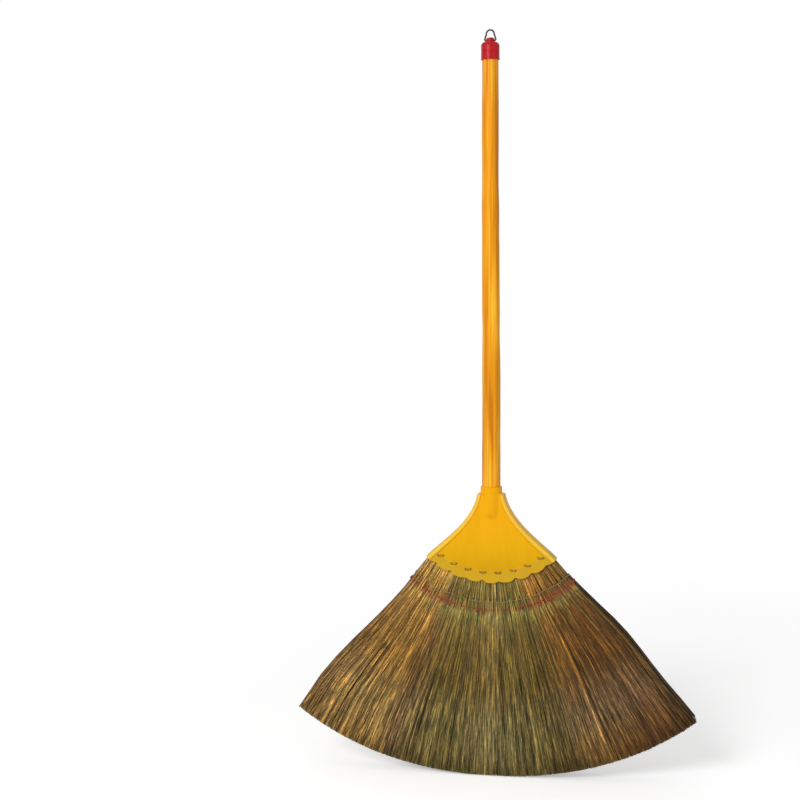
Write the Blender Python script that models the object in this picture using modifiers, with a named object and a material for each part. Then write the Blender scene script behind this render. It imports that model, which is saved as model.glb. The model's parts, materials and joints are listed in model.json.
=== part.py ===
"""Straw broom: dried grass bunches in a moulded plastic head on a film-covered wooden pole.

The broom stands upright with its front towards -Y. The fan of grass lies in the XZ plane, and all
its radii and angles are taken about the fan centre, where the pole enters the mouth of the socket.
"""

import math
import random

import bmesh
import bpy
from mathutils import Matrix, Vector

OBJECT_NAME = "straw_broom"
SEED = 7

# Clearance between pieces that touch, and how far a cutter runs past what it cuts
FIT_GAP = 0.0003
OVERRUN = 0.002
MERGE_DISTANCE = 0.00001

# Heights along the broom, from the floor
FAN_CENTRE_HEIGHT = 0.347
POLE_SHOWN_LENGTH = 0.498

# Pole: a tapered wooden stick in a shrunk plastic film
FILM_SOCKET_RADIUS = 0.0111
FILM_CAP_RADIUS = 0.0095
FILM_THICKNESS = 0.0004
POLE_SOCKET_DEPTH = 0.026
POLE_POINT_LENGTH = 0.010
POLE_POINT_RADIUS = 0.006
POLE_CAP_DEPTH = 0.0165
FILM_CAP_DEPTH = 0.014

# End cap: a turned cup with a knob that carries the hanging loop
CAP_BODY_LENGTH = 0.0205
CAP_WALL = 0.0009
CAP_SHOULDER_ROUND = 0.0032
CAP_MOUTH_BEAD = 0.0004
CAP_MOUTH_BEAD_HEIGHT = 0.0012
CAP_RING_HEIGHT = 0.0085
CAP_RING_WIDTH = 0.0008
CAP_RING_DEPTH = 0.0003
KNOB_RADIUS = 0.0048
KNOB_HEIGHT = 0.0047
KNOB_ROUND = 0.0018
KNOB_FILLET = 0.0008

# Hanging loop: a wire bail whose bent ends turn in the cross hole of the knob
LOOP_WIRE_RADIUS = 0.0010
LOOP_HEIGHT = 0.0130
LOOP_TOP_RADIUS = 0.0045
LOOP_BEND_RADIUS = 0.0014
LOOP_PIN_LENGTH = 0.0030
LOOP_LEG_CLEARANCE = 0.0006

# Plastic head: a socket with a rounded lower end, and a hollow fan with rims and a thick lip
SOCKET_WALL = 0.0016
SOCKET_MOUTH_ROUND = 0.0006
SOCKET_LENGTH = 0.028
SOCKET_END_LENGTH = 0.018
SHOULDER_DEPTH = 0.0100
SHOULDER_HALF_WIDTH = 0.0165
SHOULDER_ROUND = 0.0016
FLARE_START = (0.0060, 0.0330)
FLARE_END = (0.0160, 0.0165)
LIP_RADIUS = 0.1150
HEAD_HALF_ANGLE_DEG = 42.5
HEAD_WALL = 0.0016
HEAD_SIDE_WALL = 0.0024
HEAD_ROOF = 0.0030
HEAD_SIDE_ROUND = 0.0040
HEAD_INNER_ROUND = 0.0010
RIM_WIDTH = 0.0055
RIM_HEIGHT = 0.0010
RIM_FALL = 0.0009
BAND_HEIGHT = 0.0006
BAND_FALL = 0.0008
NOTCH_RADIUS = 0.0022
NOTCH_DEPTH = 0.0012

# Wire stitches through the lip of the head and the grass
STITCH_COUNT = 8
STITCH_PITCH_SHARE = 3.5
STITCH_TO_LIP = 0.0129
STITCH_WIDTH = 0.0066
STITCH_WIRE_RADIUS = 0.0006
STITCH_BEND_RADIUS = 0.0010
STITCH_TAIL_GAP = 0.0014
STITCH_TO_BAND = 0.0026

# Nail through the back of the socket into the pole
NAIL_DEPTH = 0.0050
NAIL_LENGTH = 0.0095
NAIL_RADIUS = 0.0009
NAIL_HEAD_RADIUS = 0.0021
NAIL_HEAD_HEIGHT = 0.0008
NAIL_POINT_LENGTH = 0.0020
NAIL_CROWN_SHARE = 0.5
NAIL_EDGE_SHARE = 0.35

# Grass: bunches side by side, drawn in under two rows of twine, then spreading in strands
BUNCH_COUNT = 28
BUNCH_GAP = 0.0003
MAT_HALF_THICKNESS = 0.0075
NECK_TOP_RADIUS = 0.0560
NECK_SWELL = 0.0006
NECK_BELOW_TWINE = 0.0060
GROOVE_DEPTH = 0.0012
GROOVE_HALF_WIDTH = 0.0040
STRAND_COLUMNS = 3
STRAND_ROWS = 4
STRAND_SIDES = 3
STRAND_ROOT_RADIUS = 0.00075
STRAND_TIP_RADIUS = 0.0014
STRAND_EMBED = 0.0030
STRAND_LENGTH_SPREAD = 0.0030
STRAND_DRIFT = 0.0006
FAN_END_HALF_THICKNESS = 0.0190
FAN_END_HALF_ANGLE_DEG = 40.0
FAN_END_ARC_RADIUS = 0.495
FLOOR_TRIM = 0.0005

# Twine rows
LIP_TO_PALE_ROW = 0.0233
TWINE_ROW_PITCH = 0.0092
TWINE_RADIUS = 0.0009
TWINE_CORNER_RADIUS = 0.0030

# Facets
TURNED_STEPS = 28
FINE_STEPS = 16
CHANNEL_SIDES = 6
ARC_STEPS = 6
CORNER_STEPS = 3
FILLET_STEPS = 2
FLARE_STEPS = 11
SHARP_ANGLE_DEG = 35
BISECTION_STEPS = 40
CHAMFER_SHARE = 0.72
PINCH_SHARE = 0.92
ROOT_CROWD_SHARE = 0.82
STRAND_ROW_SHIFT_SHARES = (-0.30, 0.10, -0.10, 0.30)
STRAND_COLUMN_SHIFT_SHARES = (-0.22, 0.0, 0.22)
TWINE_STEPS = 14

# Places that follow from the sizes above
CAP_MOUTH_HEIGHT = FAN_CENTRE_HEIGHT + POLE_SHOWN_LENGTH
CAP_SHOULDER_HEIGHT = CAP_MOUTH_HEIGHT + CAP_BODY_LENGTH
LOOP_LEG_X = KNOB_RADIUS + LOOP_LEG_CLEARANCE + LOOP_WIRE_RADIUS
PIVOT_HEIGHT = CAP_SHOULDER_HEIGHT + LOOP_WIRE_RADIUS + 2 * FIT_GAP
SOCKET_BORE_RADIUS = FILM_SOCKET_RADIUS + FIT_GAP
SOCKET_RADIUS = SOCKET_BORE_RADIUS + SOCKET_WALL
HEAD_INNER_HALF_THICKNESS = MAT_HALF_THICKNESS + FIT_GAP
HEAD_HALF_THICKNESS = HEAD_INNER_HALF_THICKNESS + HEAD_WALL
STITCH_RADIUS = LIP_RADIUS - STITCH_TO_LIP
BAND_TOP_RADIUS = STITCH_RADIUS - STITCH_TO_BAND
HEAD_HALF_ANGLE = math.radians(HEAD_HALF_ANGLE_DEG)
LIP_TIP_X = LIP_RADIUS * math.sin(HEAD_HALF_ANGLE)
LIP_TIP_DEPTH = LIP_RADIUS * math.cos(HEAD_HALF_ANGLE)
MAT_INSET = HEAD_SIDE_WALL + 2 * FIT_GAP
PALE_ROW_RADIUS = LIP_RADIUS + LIP_TO_PALE_ROW
RED_ROW_RADIUS = PALE_ROW_RADIUS + TWINE_ROW_PITCH


def clear_scene():
    for item in list(bpy.data.objects):
        bpy.data.objects.remove(item, do_unlink=True)


def new_collection(name):
    group = bpy.data.collections.new(name)
    bpy.context.scene.collection.children.link(group)
    return group


def new_material(name, colour, roughness, metallic=0.0):
    finish = bpy.data.materials.new(name)
    finish.use_nodes = True
    shader = finish.node_tree.nodes["Principled BSDF"]
    shader.inputs["Base Color"].default_value = (*colour, 1.0)
    shader.inputs["Roughness"].default_value = roughness
    shader.inputs["Metallic"].default_value = metallic
    return finish


def make_materials():
    return {
        "pole_wood": new_material("pole_wood", (0.50, 0.33, 0.17), 0.65),
        "yellow_film": new_material("yellow_film", (0.87, 0.40, 0.02), 0.25),
        "red_plastic": new_material("red_plastic", (0.50, 0.02, 0.04), 0.35),
        "yellow_plastic": new_material("yellow_plastic", (0.83, 0.48, 0.01), 0.35),
        "loop_wire": new_material("loop_wire", (0.12, 0.09, 0.09), 0.40, 1.0),
        "stitch_wire": new_material("stitch_wire", (0.70, 0.66, 0.58), 0.30, 1.0),
        "golden_grass": new_material("golden_grass", (0.36, 0.18, 0.05), 0.80),
        "olive_grass": new_material("olive_grass", (0.20, 0.16, 0.05), 0.80),
        "brown_grass": new_material("brown_grass", (0.16, 0.08, 0.02), 0.80),
        "pale_twine": new_material("pale_twine", (0.45, 0.38, 0.26), 0.85),
        "red_twine": new_material("red_twine", (0.40, 0.05, 0.03), 0.85),
    }


class Workshop:
    """Keeps the collections and materials that every piece is filed under."""

    def __init__(self):
        self.parts = new_collection(OBJECT_NAME)
        self.cutters = new_collection("cutters")
        self.finishes = make_materials()

    def part(self, piece, finish):
        for group in list(piece.users_collection):
            group.objects.unlink(piece)
        self.parts.objects.link(piece)
        piece.data.materials.clear()
        piece.data.materials.append(self.finishes[finish])
        piece.data.shade_smooth()
        piece.data.set_sharp_from_angle(angle=math.radians(SHARP_ANGLE_DEG))
        return piece

    def cutter(self, piece):
        for group in list(piece.users_collection):
            group.objects.unlink(piece)
        self.cutters.objects.link(piece)
        piece.hide_render = True
        piece.display_type = "WIRE"
        return piece


def mesh_object(name, bm):
    bmesh.ops.recalc_face_normals(bm, faces=bm.faces)
    mesh = bpy.data.meshes.new(name)
    bm.to_mesh(mesh)
    bm.free()
    piece = bpy.data.objects.new(name, mesh)
    bpy.context.scene.collection.objects.link(piece)
    return piece


def combine(piece, cutter, operation):
    """Cuts or joins a piece with another solid."""
    modifier = piece.modifiers.new(cutter.name, "BOOLEAN")
    modifier.operation = operation
    modifier.solver = "EXACT"
    modifier.object = cutter


def turned(name, profile, closed=False, steps=TURNED_STEPS):
    """A turned piece: a profile of (radius, height) points, top to bottom, about the Z axis."""
    mesh = bpy.data.meshes.new(name)
    edges = [(i, i + 1) for i in range(len(profile) - 1)]
    if closed:
        edges.append((len(profile) - 1, 0))
    mesh.from_pydata([(radius, 0, height) for radius, height in profile], edges, [])
    piece = bpy.data.objects.new(name, mesh)
    bpy.context.scene.collection.objects.link(piece)
    screw = piece.modifiers.new("turn", "SCREW")
    screw.axis = "Z"
    screw.angle = 2 * math.pi
    screw.steps = steps
    screw.render_steps = steps
    screw.use_merge_vertices = True
    screw.merge_threshold = MERGE_DISTANCE
    screw.use_smooth_shade = True
    return piece


def wire(name, points, radius, sides_level=2, cyclic=False):
    """A round wire through the points, made a mesh with closed ends."""
    curve = bpy.data.curves.new(name, "CURVE")
    curve.dimensions = "3D"
    curve.bevel_depth = radius
    curve.bevel_resolution = sides_level
    curve.use_fill_caps = True
    spline = curve.splines.new("POLY")
    spline.points.add(len(points) - 1)
    for place, point in zip(spline.points, points):
        place.co = (*point, 1)
    spline.use_cyclic_u = cyclic
    guide = bpy.data.objects.new(name + "_guide", curve)
    bpy.context.scene.collection.objects.link(guide)
    evaluated = guide.evaluated_get(bpy.context.evaluated_depsgraph_get())
    bm = bmesh.new()
    bm.from_mesh(bpy.data.meshes.new_from_object(evaluated))
    bmesh.ops.remove_doubles(bm, verts=bm.verts, dist=MERGE_DISTANCE)
    bpy.data.objects.remove(guide, do_unlink=True)
    return mesh_object(name, bm)


def arc(centre, radius, start, end, steps=ARC_STEPS):
    """Points of a flat arc as (across, up) pairs, from the start angle to the end angle."""
    angles = [start + (end - start) * i / steps for i in range(steps + 1)]
    return [(centre[0] + radius * math.cos(a), centre[1] + radius * math.sin(a)) for a in angles]


def fan_point(radius, angle, y=0.0):
    """A point of the fan at a radius and an angle from straight down, about the fan centre."""
    return Vector((radius * math.sin(angle), y, FAN_CENTRE_HEIGHT - radius * math.cos(angle)))


def skin(bm, lower, upper):
    """Faces between two rings of as many points."""
    for i in range(len(lower)):
        j = (i + 1) % len(lower)
        bm.faces.new((lower[i], lower[j], upper[j], upper[i]))


def loft(bm, rings, open_end=False):
    """Skins a row of rings, and closes its ends unless one stays open."""
    loops = [[bm.verts.new(point) for point in ring] for ring in rings]
    for lower, upper in zip(loops, loops[1:]):
        skin(bm, lower, upper)
    bm.faces.new(loops[0])
    if not open_end:
        bm.faces.new(loops[-1])
    return loops[-1]


# Pole


def film_radius(height):
    """The pole tapers evenly from the socket to the end cap."""
    share = (height - FAN_CENTRE_HEIGHT) / POLE_SHOWN_LENGTH
    return FILM_SOCKET_RADIUS + (FILM_CAP_RADIUS - FILM_SOCKET_RADIUS) * max(0, share)


def core_radius(height):
    return film_radius(height) - FILM_THICKNESS - FIT_GAP


def make_pole_core(shop, nail_channel):
    bottom = FAN_CENTRE_HEIGHT - POLE_SOCKET_DEPTH
    top = CAP_MOUTH_HEIGHT + POLE_CAP_DEPTH
    profile = [
        (0, top),
        (core_radius(top), top),
        (core_radius(FAN_CENTRE_HEIGHT), FAN_CENTRE_HEIGHT),
        (core_radius(bottom), bottom),
        (POLE_POINT_RADIUS, bottom - POLE_POINT_LENGTH),
        (0, bottom - POLE_POINT_LENGTH),
    ]
    core = shop.part(turned("pole_core", profile), "pole_wood")
    combine(core, nail_channel, "DIFFERENCE")


def make_pole_film(shop, nail_channel):
    bottom = FAN_CENTRE_HEIGHT - POLE_SOCKET_DEPTH
    top = CAP_MOUTH_HEIGHT + FILM_CAP_DEPTH
    stations = (top, FAN_CENTRE_HEIGHT, bottom)
    outside = [(film_radius(height), height) for height in stations]
    inside = [(film_radius(height) - FILM_THICKNESS, height) for height in reversed(stations)]
    film = shop.part(turned("pole_film", outside + inside, closed=True), "yellow_film")
    combine(film, nail_channel, "DIFFERENCE")


# End cap and loop


def cap_profile():
    bore = film_radius(CAP_MOUTH_HEIGHT) + FIT_GAP
    outer = bore + CAP_WALL
    top_radius = film_radius(CAP_SHOULDER_HEIGHT) + FIT_GAP + CAP_WALL
    knob_top = CAP_SHOULDER_HEIGHT + KNOB_HEIGHT
    ring = CAP_MOUTH_HEIGHT + CAP_RING_HEIGHT
    bead_top = CAP_MOUTH_HEIGHT + CAP_MOUTH_BEAD_HEIGHT
    quarter = math.pi / 2
    crown = (KNOB_RADIUS - KNOB_ROUND, knob_top - KNOB_ROUND)
    fillet = (KNOB_RADIUS + KNOB_FILLET, CAP_SHOULDER_HEIGHT + KNOB_FILLET)
    shoulder = (top_radius - CAP_SHOULDER_ROUND, CAP_SHOULDER_HEIGHT - CAP_SHOULDER_ROUND)
    points = [(0, knob_top)]
    points += reversed(arc(crown, KNOB_ROUND, 0, quarter, CORNER_STEPS))
    points += arc(fillet, KNOB_FILLET, 2 * quarter, 3 * quarter, FILLET_STEPS)
    points += reversed(arc(shoulder, CAP_SHOULDER_ROUND, 0, quarter, CORNER_STEPS))
    points += [
        (outer, ring + CAP_RING_WIDTH),
        (outer - CAP_RING_DEPTH, ring + CAP_RING_WIDTH / 2),
        (outer, ring),
        (outer, bead_top),
        (outer + CAP_MOUTH_BEAD, bead_top - CAP_MOUTH_BEAD),
        (outer + CAP_MOUTH_BEAD, CAP_MOUTH_HEIGHT),
        (bore, CAP_MOUTH_HEIGHT),
        (bore, CAP_MOUTH_HEIGHT + POLE_CAP_DEPTH + FIT_GAP),
        (0, CAP_MOUTH_HEIGHT + POLE_CAP_DEPTH + FIT_GAP),
    ]
    return points


def make_end_cap(shop):
    cap = shop.part(turned("end_cap", cap_profile()), "red_plastic")
    bm = bmesh.new()
    reach = 2 * (KNOB_RADIUS + OVERRUN)
    radius = LOOP_WIRE_RADIUS + FIT_GAP
    bmesh.ops.create_cone(
        bm, cap_ends=True, segments=FINE_STEPS, radius1=radius, radius2=radius, depth=reach
    )
    bmesh.ops.rotate(bm, verts=bm.verts, matrix=Matrix.Rotation(math.pi / 2, 3, "Y"))
    bmesh.ops.translate(bm, verts=bm.verts, vec=(0, 0, PIVOT_HEIGHT))
    cross_hole = shop.cutter(mesh_object("cross_hole", bm))
    combine(cap, cross_hole, "DIFFERENCE")


def make_hang_loop(shop):
    """The bail is drawn about its pivot, one leg and half of the top arch, then mirrored."""
    top_centre = LOOP_HEIGHT - LOOP_WIRE_RADIUS - LOOP_TOP_RADIUS
    corner = (LOOP_LEG_X - LOOP_BEND_RADIUS, LOOP_BEND_RADIUS)
    half = [(KNOB_RADIUS - LOOP_PIN_LENGTH, 0)]
    half += arc(corner, LOOP_BEND_RADIUS, -math.pi / 2, 0, CORNER_STEPS)
    half += arc((0, top_centre), LOOP_TOP_RADIUS, 0, math.pi / 2)
    outline = [(-x, z) for x, z in half] + list(reversed(half[:-1]))
    loop = wire("hang_loop", [(x, 0, z) for x, z in outline], LOOP_WIRE_RADIUS)
    loop.location = (0, 0, PIVOT_HEIGHT)
    shop.part(loop, "loop_wire")


# Plastic head


def flare_point(share, inset=0.0):
    """(half width, depth) on the side of the fan: a curve from the shoulder to the tip of the lip."""
    start = (SHOULDER_HALF_WIDTH, SHOULDER_DEPTH)
    end = (LIP_TIP_X, LIP_TIP_DEPTH)
    handles = (
        start,
        (start[0] + FLARE_START[0], start[1] + FLARE_START[1]),
        (end[0] - FLARE_END[0], end[1] - FLARE_END[1]),
        end,
    )
    rest = 1 - share
    weights = (rest**3, 3 * share * rest**2, 3 * share**2 * rest, share**3)
    width = sum(weight * handle[0] for weight, handle in zip(weights, handles))
    depth = sum(weight * handle[1] for weight, handle in zip(weights, handles))
    return width - inset, depth


def flare_share(radius, inset=0.0):
    """Where along the flare its side lies at a radius from the fan centre."""
    low, high = 0.0, 1.0
    for _ in range(BISECTION_STEPS):
        middle = (low + high) / 2
        if math.hypot(*flare_point(middle, inset)) < radius:
            low = middle
        else:
            high = middle
    return high


def section(share, inset, half_thickness, rim_height, round_off):
    """One ring of the fan: straight across at the shoulder, bowed about the centre at the lip.

    Each quarter runs round the side, over the rim and down to the flat of the plate.
    """
    half_width, side_depth = flare_point(share, inset)
    bow = math.sin(share * math.pi / 2)
    sagitta = bow * (math.hypot(half_width, side_depth) - side_depth)
    top = half_thickness + rim_height
    corner = (half_width - round_off, top - round_off)
    side = arc(corner, round_off, 0, math.pi / 2, CORNER_STEPS)
    side += [(half_width - RIM_WIDTH, top), (half_width - RIM_WIDTH - RIM_FALL, half_thickness)]
    flat = side[-1][0] / 2
    front = side + [(flat, half_thickness), (0, half_thickness), (-flat, half_thickness)]
    front += [(-x, y) for x, y in reversed(side)]
    outline = [(x, -y) for x, y in front] + [(x, y) for x, y in reversed(front)]
    ring = []
    for x, y in outline:
        depth = side_depth
        if sagitta > 0:
            curve = (half_width**2 + sagitta**2) / (2 * sagitta)
            depth += math.sqrt(curve**2 - x**2) - (curve - sagitta)
        ring.append((x, y, FAN_CENTRE_HEIGHT - depth))
    return ring


def make_fan_shell():
    """The hollow fan, open along its lip, with a raised rim down both sides and a thick lip band."""
    band_top = flare_share(BAND_TOP_RADIUS)
    band_full = flare_share(BAND_TOP_RADIUS + BAND_FALL)
    plain = [band_top * i / (FLARE_STEPS - 1) for i in range(1, FLARE_STEPS)]
    side_round = HEAD_SIDE_ROUND
    outside = [section(0, SHOULDER_ROUND, HEAD_HALF_THICKNESS - SHOULDER_ROUND, 0, side_round)]
    outside += [section(share, 0, HEAD_HALF_THICKNESS, RIM_HEIGHT, side_round) for share in plain]
    band = (HEAD_HALF_THICKNESS + BAND_HEIGHT, RIM_HEIGHT - BAND_HEIGHT)
    outside += [section(share, 0, *band, side_round) for share in (band_full, 1)]
    roof = flare_share(math.hypot(SHOULDER_HALF_WIDTH, SHOULDER_DEPTH + HEAD_ROOF) + HEAD_SIDE_WALL)
    inner_shares = [roof + (1 - roof) * i / (FLARE_STEPS - 1) for i in range(FLARE_STEPS)]
    inner_size = (HEAD_SIDE_WALL, HEAD_INNER_HALF_THICKNESS, 0, HEAD_INNER_ROUND)
    inside = [section(share, *inner_size) for share in inner_shares]
    bm = bmesh.new()
    outer_lip = loft(bm, outside, open_end=True)
    inner_lip = loft(bm, inside, open_end=True)
    skin(bm, outer_lip, inner_lip)
    return mesh_object("head_shell", bm)


def socket_profile(radius, top, length, end_length):
    """A round plug that ends below in a long dome."""
    straight_end = FAN_CENTRE_HEIGHT - length
    unit_dome = arc((0, 0), 1, 0, math.pi / 2)[:-1]
    dome = [(radius * x, straight_end - end_length * y) for x, y in unit_dome]
    return [(0, top), (radius, top)] + dome + [(0, straight_end - end_length)]


def rounded_socket_profile():
    profile = socket_profile(SOCKET_RADIUS, FAN_CENTRE_HEIGHT, SOCKET_LENGTH, SOCKET_END_LENGTH)
    mouth = [
        (SOCKET_RADIUS - SOCKET_MOUTH_ROUND, FAN_CENTRE_HEIGHT),
        (SOCKET_RADIUS, FAN_CENTRE_HEIGHT - SOCKET_MOUTH_ROUND),
    ]
    return profile[:1] + mouth + profile[2:]


def stitch_angles():
    """One stitch every so many bunches: one leg goes through a bunch, the other between two."""
    middle = (STITCH_COUNT - 1) / 2
    bunch_angle = 2 * mat_half_angle(STITCH_RADIUS) / BUNCH_COUNT
    return [bunch_angle * STITCH_PITCH_SHARE * (i - middle) for i in range(STITCH_COUNT)]


def rods_along_y(name, places, radius, half_length, sides=CHANNEL_SIDES):
    """Round rods front to back through the places given."""
    bm = bmesh.new()
    for place in places:
        rod = bmesh.ops.create_cone(
            bm, cap_ends=True, segments=sides, radius1=radius, radius2=radius, depth=2 * half_length
        )
        bmesh.ops.rotate(bm, verts=rod["verts"], matrix=Matrix.Rotation(math.pi / 2, 3, "X"))
        bmesh.ops.translate(bm, verts=rod["verts"], vec=place)
    return mesh_object(name, bm)


def make_stitch_channels(shop):
    """The holes that every stitch leg passes, through both walls of the head and the grass."""
    places = []
    for angle in stitch_angles():
        centre = fan_point(STITCH_RADIUS, angle)
        for side in (-1, 1):
            places.append(centre + Vector((side * STITCH_WIDTH / 2, 0, 0)))
    reach = HEAD_HALF_THICKNESS + BAND_HEIGHT + OVERRUN
    return shop.cutter(rods_along_y("stitch_channels", places, STITCH_WIRE_RADIUS + FIT_GAP, reach))


def make_nail_channel(shop):
    height = FAN_CENTRE_HEIGHT - NAIL_DEPTH
    tip = SOCKET_RADIUS + FIT_GAP - NAIL_LENGTH - FIT_GAP
    reach = SOCKET_RADIUS + OVERRUN - tip
    place = Vector((0, tip + reach / 2, height))
    return shop.cutter(rods_along_y("nail_channel", [place], NAIL_RADIUS + FIT_GAP, reach / 2))


def make_head(shop, stitch_channels, nail_channel):
    head = shop.part(make_fan_shell(), "yellow_plastic")
    boss = shop.cutter(turned("socket_boss", rounded_socket_profile()))
    bore_top = FAN_CENTRE_HEIGHT + OVERRUN
    bore_end = SOCKET_END_LENGTH - SOCKET_WALL
    bore_profile = socket_profile(SOCKET_BORE_RADIUS, bore_top, SOCKET_LENGTH, bore_end)
    bore = shop.cutter(turned("socket_bore", bore_profile))
    notch_radius = LIP_RADIUS + NOTCH_RADIUS - NOTCH_DEPTH
    notch_places = [fan_point(notch_radius, angle) for angle in stitch_angles()]
    reach = HEAD_HALF_THICKNESS + BAND_HEIGHT + OVERRUN
    notches = shop.cutter(rods_along_y("lip_notches", notch_places, NOTCH_RADIUS, reach, FINE_STEPS))
    combine(head, boss, "UNION")
    for cutter in (bore, stitch_channels, notches, nail_channel):
        combine(head, cutter, "DIFFERENCE")


# Fasteners


def make_stitch(shop, number, angle):
    """A wire staple: its crown lies across the front, and its tails are folded in behind."""
    half = STITCH_WIDTH / 2
    face = HEAD_HALF_THICKNESS + BAND_HEIGHT + FIT_GAP + STITCH_WIRE_RADIUS
    bend = STITCH_BEND_RADIUS
    side = [(STITCH_TAIL_GAP / 2, face)]
    side += reversed(arc((half - bend, face - bend), bend, 0, math.pi / 2, FILLET_STEPS))
    side += reversed(arc((half - bend, -face + bend), bend, -math.pi / 2, 0, FILLET_STEPS))
    outline = side + [(-x, y) for x, y in reversed(side)]
    stitch = wire("stitch_%d" % number, [(x, y, 0) for x, y in outline], STITCH_WIRE_RADIUS, 1)
    stitch.location = fan_point(STITCH_RADIUS, angle)
    shop.part(stitch, "stitch_wire")


def make_nail(shop):
    """Turned about Z with its head up, then laid over so that the head stands at the back."""
    profile = [
        (0, NAIL_HEAD_HEIGHT),
        (NAIL_HEAD_RADIUS * NAIL_CROWN_SHARE, NAIL_HEAD_HEIGHT),
        (NAIL_HEAD_RADIUS, NAIL_HEAD_HEIGHT * NAIL_EDGE_SHARE),
        (NAIL_HEAD_RADIUS, 0),
        (NAIL_RADIUS, 0),
        (NAIL_RADIUS, NAIL_POINT_LENGTH - NAIL_LENGTH),
        (0, -NAIL_LENGTH),
    ]
    nail = turned("socket_nail", profile, steps=FINE_STEPS)
    nail.rotation_euler = (-math.pi / 2, 0, 0)
    nail.location = (0, SOCKET_RADIUS + FIT_GAP, FAN_CENTRE_HEIGHT - NAIL_DEPTH)
    shop.part(nail, "stitch_wire")


# Grass


def mat_half_angle(radius):
    """Half the angle that the grass fills: along the walls of the head, and straight on below it."""
    share = flare_share(min(radius, LIP_RADIUS), MAT_INSET)
    half_width, depth = flare_point(share, MAT_INSET)
    return math.atan2(half_width, depth)


def end_radius(angle):
    """Radius at which the fan's lower edge, an arc just below the floor, cuts a ray from the centre."""
    arc_height = FAN_END_ARC_RADIUS - FLOOR_TRIM - FAN_CENTRE_HEIGHT
    along = arc_height * math.cos(angle)
    return math.sqrt(along**2 + FAN_END_ARC_RADIUS**2 - arc_height**2) - along


def side_share(edge):
    """Where a border between two bunches lies: -1 at the left side of the fan, 1 at the right."""
    return 2 * edge / BUNCH_COUNT - 1


def bunch_edge(radius, edge):
    """Angle of the border between two bunches, counted from the left side of the fan."""
    return mat_half_angle(radius) * side_share(edge)


def neck_stations():
    """(radius, half thickness, width share) of the rings down a bunch's neck."""
    pinched = MAT_HALF_THICKNESS - GROOVE_DEPTH
    return [
        (NECK_TOP_RADIUS, MAT_HALF_THICKNESS, 1),
        ((NECK_TOP_RADIUS + STITCH_RADIUS) / 2, MAT_HALF_THICKNESS, 1),
        (STITCH_RADIUS, MAT_HALF_THICKNESS, 1),
        (PALE_ROW_RADIUS - GROOVE_HALF_WIDTH, MAT_HALF_THICKNESS, 1),
        (PALE_ROW_RADIUS, pinched, PINCH_SHARE),
        ((PALE_ROW_RADIUS + RED_ROW_RADIUS) / 2, MAT_HALF_THICKNESS, 1),
        (RED_ROW_RADIUS, pinched, PINCH_SHARE),
        (RED_ROW_RADIUS + NECK_BELOW_TWINE, MAT_HALF_THICKNESS + NECK_SWELL, 1),
    ]


def neck_ring(number, radius, half_thickness, width_share):
    left = bunch_edge(radius, number)
    right = bunch_edge(radius, number + 1)
    middle = (left + right) / 2
    reach = ((right - left) / 2 - BUNCH_GAP / 2 / radius) * width_share
    corners = [(1, CHAMFER_SHARE), (CHAMFER_SHARE, 1), (-CHAMFER_SHARE, 1), (-1, CHAMFER_SHARE)]
    corners += [(x, -y) for x, y in reversed(corners)]
    return [fan_point(radius, middle + x * reach, y * half_thickness) for x, y in corners]


def strand_ends(number, column, row, chance):
    """The root and tip of one strand: the same place in its bunch's grid at both, so none cross."""
    across = (column + 0.5 + STRAND_ROW_SHIFT_SHARES[row]) / STRAND_COLUMNS - 0.5
    through = 2 * (row + 0.5 + STRAND_COLUMN_SHIFT_SHARES[column]) / STRAND_ROWS - 1
    middle = number + 0.5
    root_radius = RED_ROW_RADIUS + NECK_BELOW_TWINE - STRAND_EMBED
    root_angle = bunch_edge(root_radius, middle + across * ROOT_CROWD_SHARE)
    root = fan_point(root_radius, root_angle, through * MAT_HALF_THICKNESS)
    tip_angle = math.radians(FAN_END_HALF_ANGLE_DEG) * side_share(middle + across)
    tip_radius = end_radius(tip_angle) - chance.uniform(0, STRAND_LENGTH_SPREAD)
    tip_angle += chance.uniform(-STRAND_DRIFT, STRAND_DRIFT) / tip_radius
    return root, fan_point(tip_radius, tip_angle, through * FAN_END_HALF_THICKNESS)


def make_strands(shop, number, chance):
    """All strands of one bunch, each a long three-sided cone that widens to its tip."""
    bm = bmesh.new()
    for row in range(STRAND_ROWS):
        turn = Matrix.Rotation(math.pi if row < STRAND_ROWS / 2 else 0, 4, "Z")
        for column in range(STRAND_COLUMNS):
            root, tip = strand_ends(number, column, row, chance)
            run = tip - root
            facing = run.to_track_quat("Z", "Y").to_matrix().to_4x4()
            bmesh.ops.create_cone(
                bm,
                cap_ends=True,
                segments=STRAND_SIDES,
                radius1=STRAND_ROOT_RADIUS,
                radius2=STRAND_TIP_RADIUS,
                depth=run.length,
                matrix=Matrix.Translation((root + tip) / 2) @ facing @ turn,
            )
    return shop.cutter(mesh_object("strands_%02d" % (number + 1), bm))


def bunch_finish(number):
    thirds = 3 * number // BUNCH_COUNT
    return ("golden_grass", "olive_grass", "brown_grass")[thirds]


def make_bunch(shop, number, stitch_channels, floor):
    bm = bmesh.new()
    loft(bm, [neck_ring(number, *station) for station in neck_stations()])
    bunch = shop.part(mesh_object("grass_bunch_%02d" % (number + 1), bm), bunch_finish(number))
    chance = random.Random(SEED + min(number, BUNCH_COUNT - 1 - number))
    combine(bunch, make_strands(shop, number, chance), "UNION")
    combine(bunch, stitch_channels, "DIFFERENCE")
    combine(bunch, floor, "DIFFERENCE")


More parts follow.
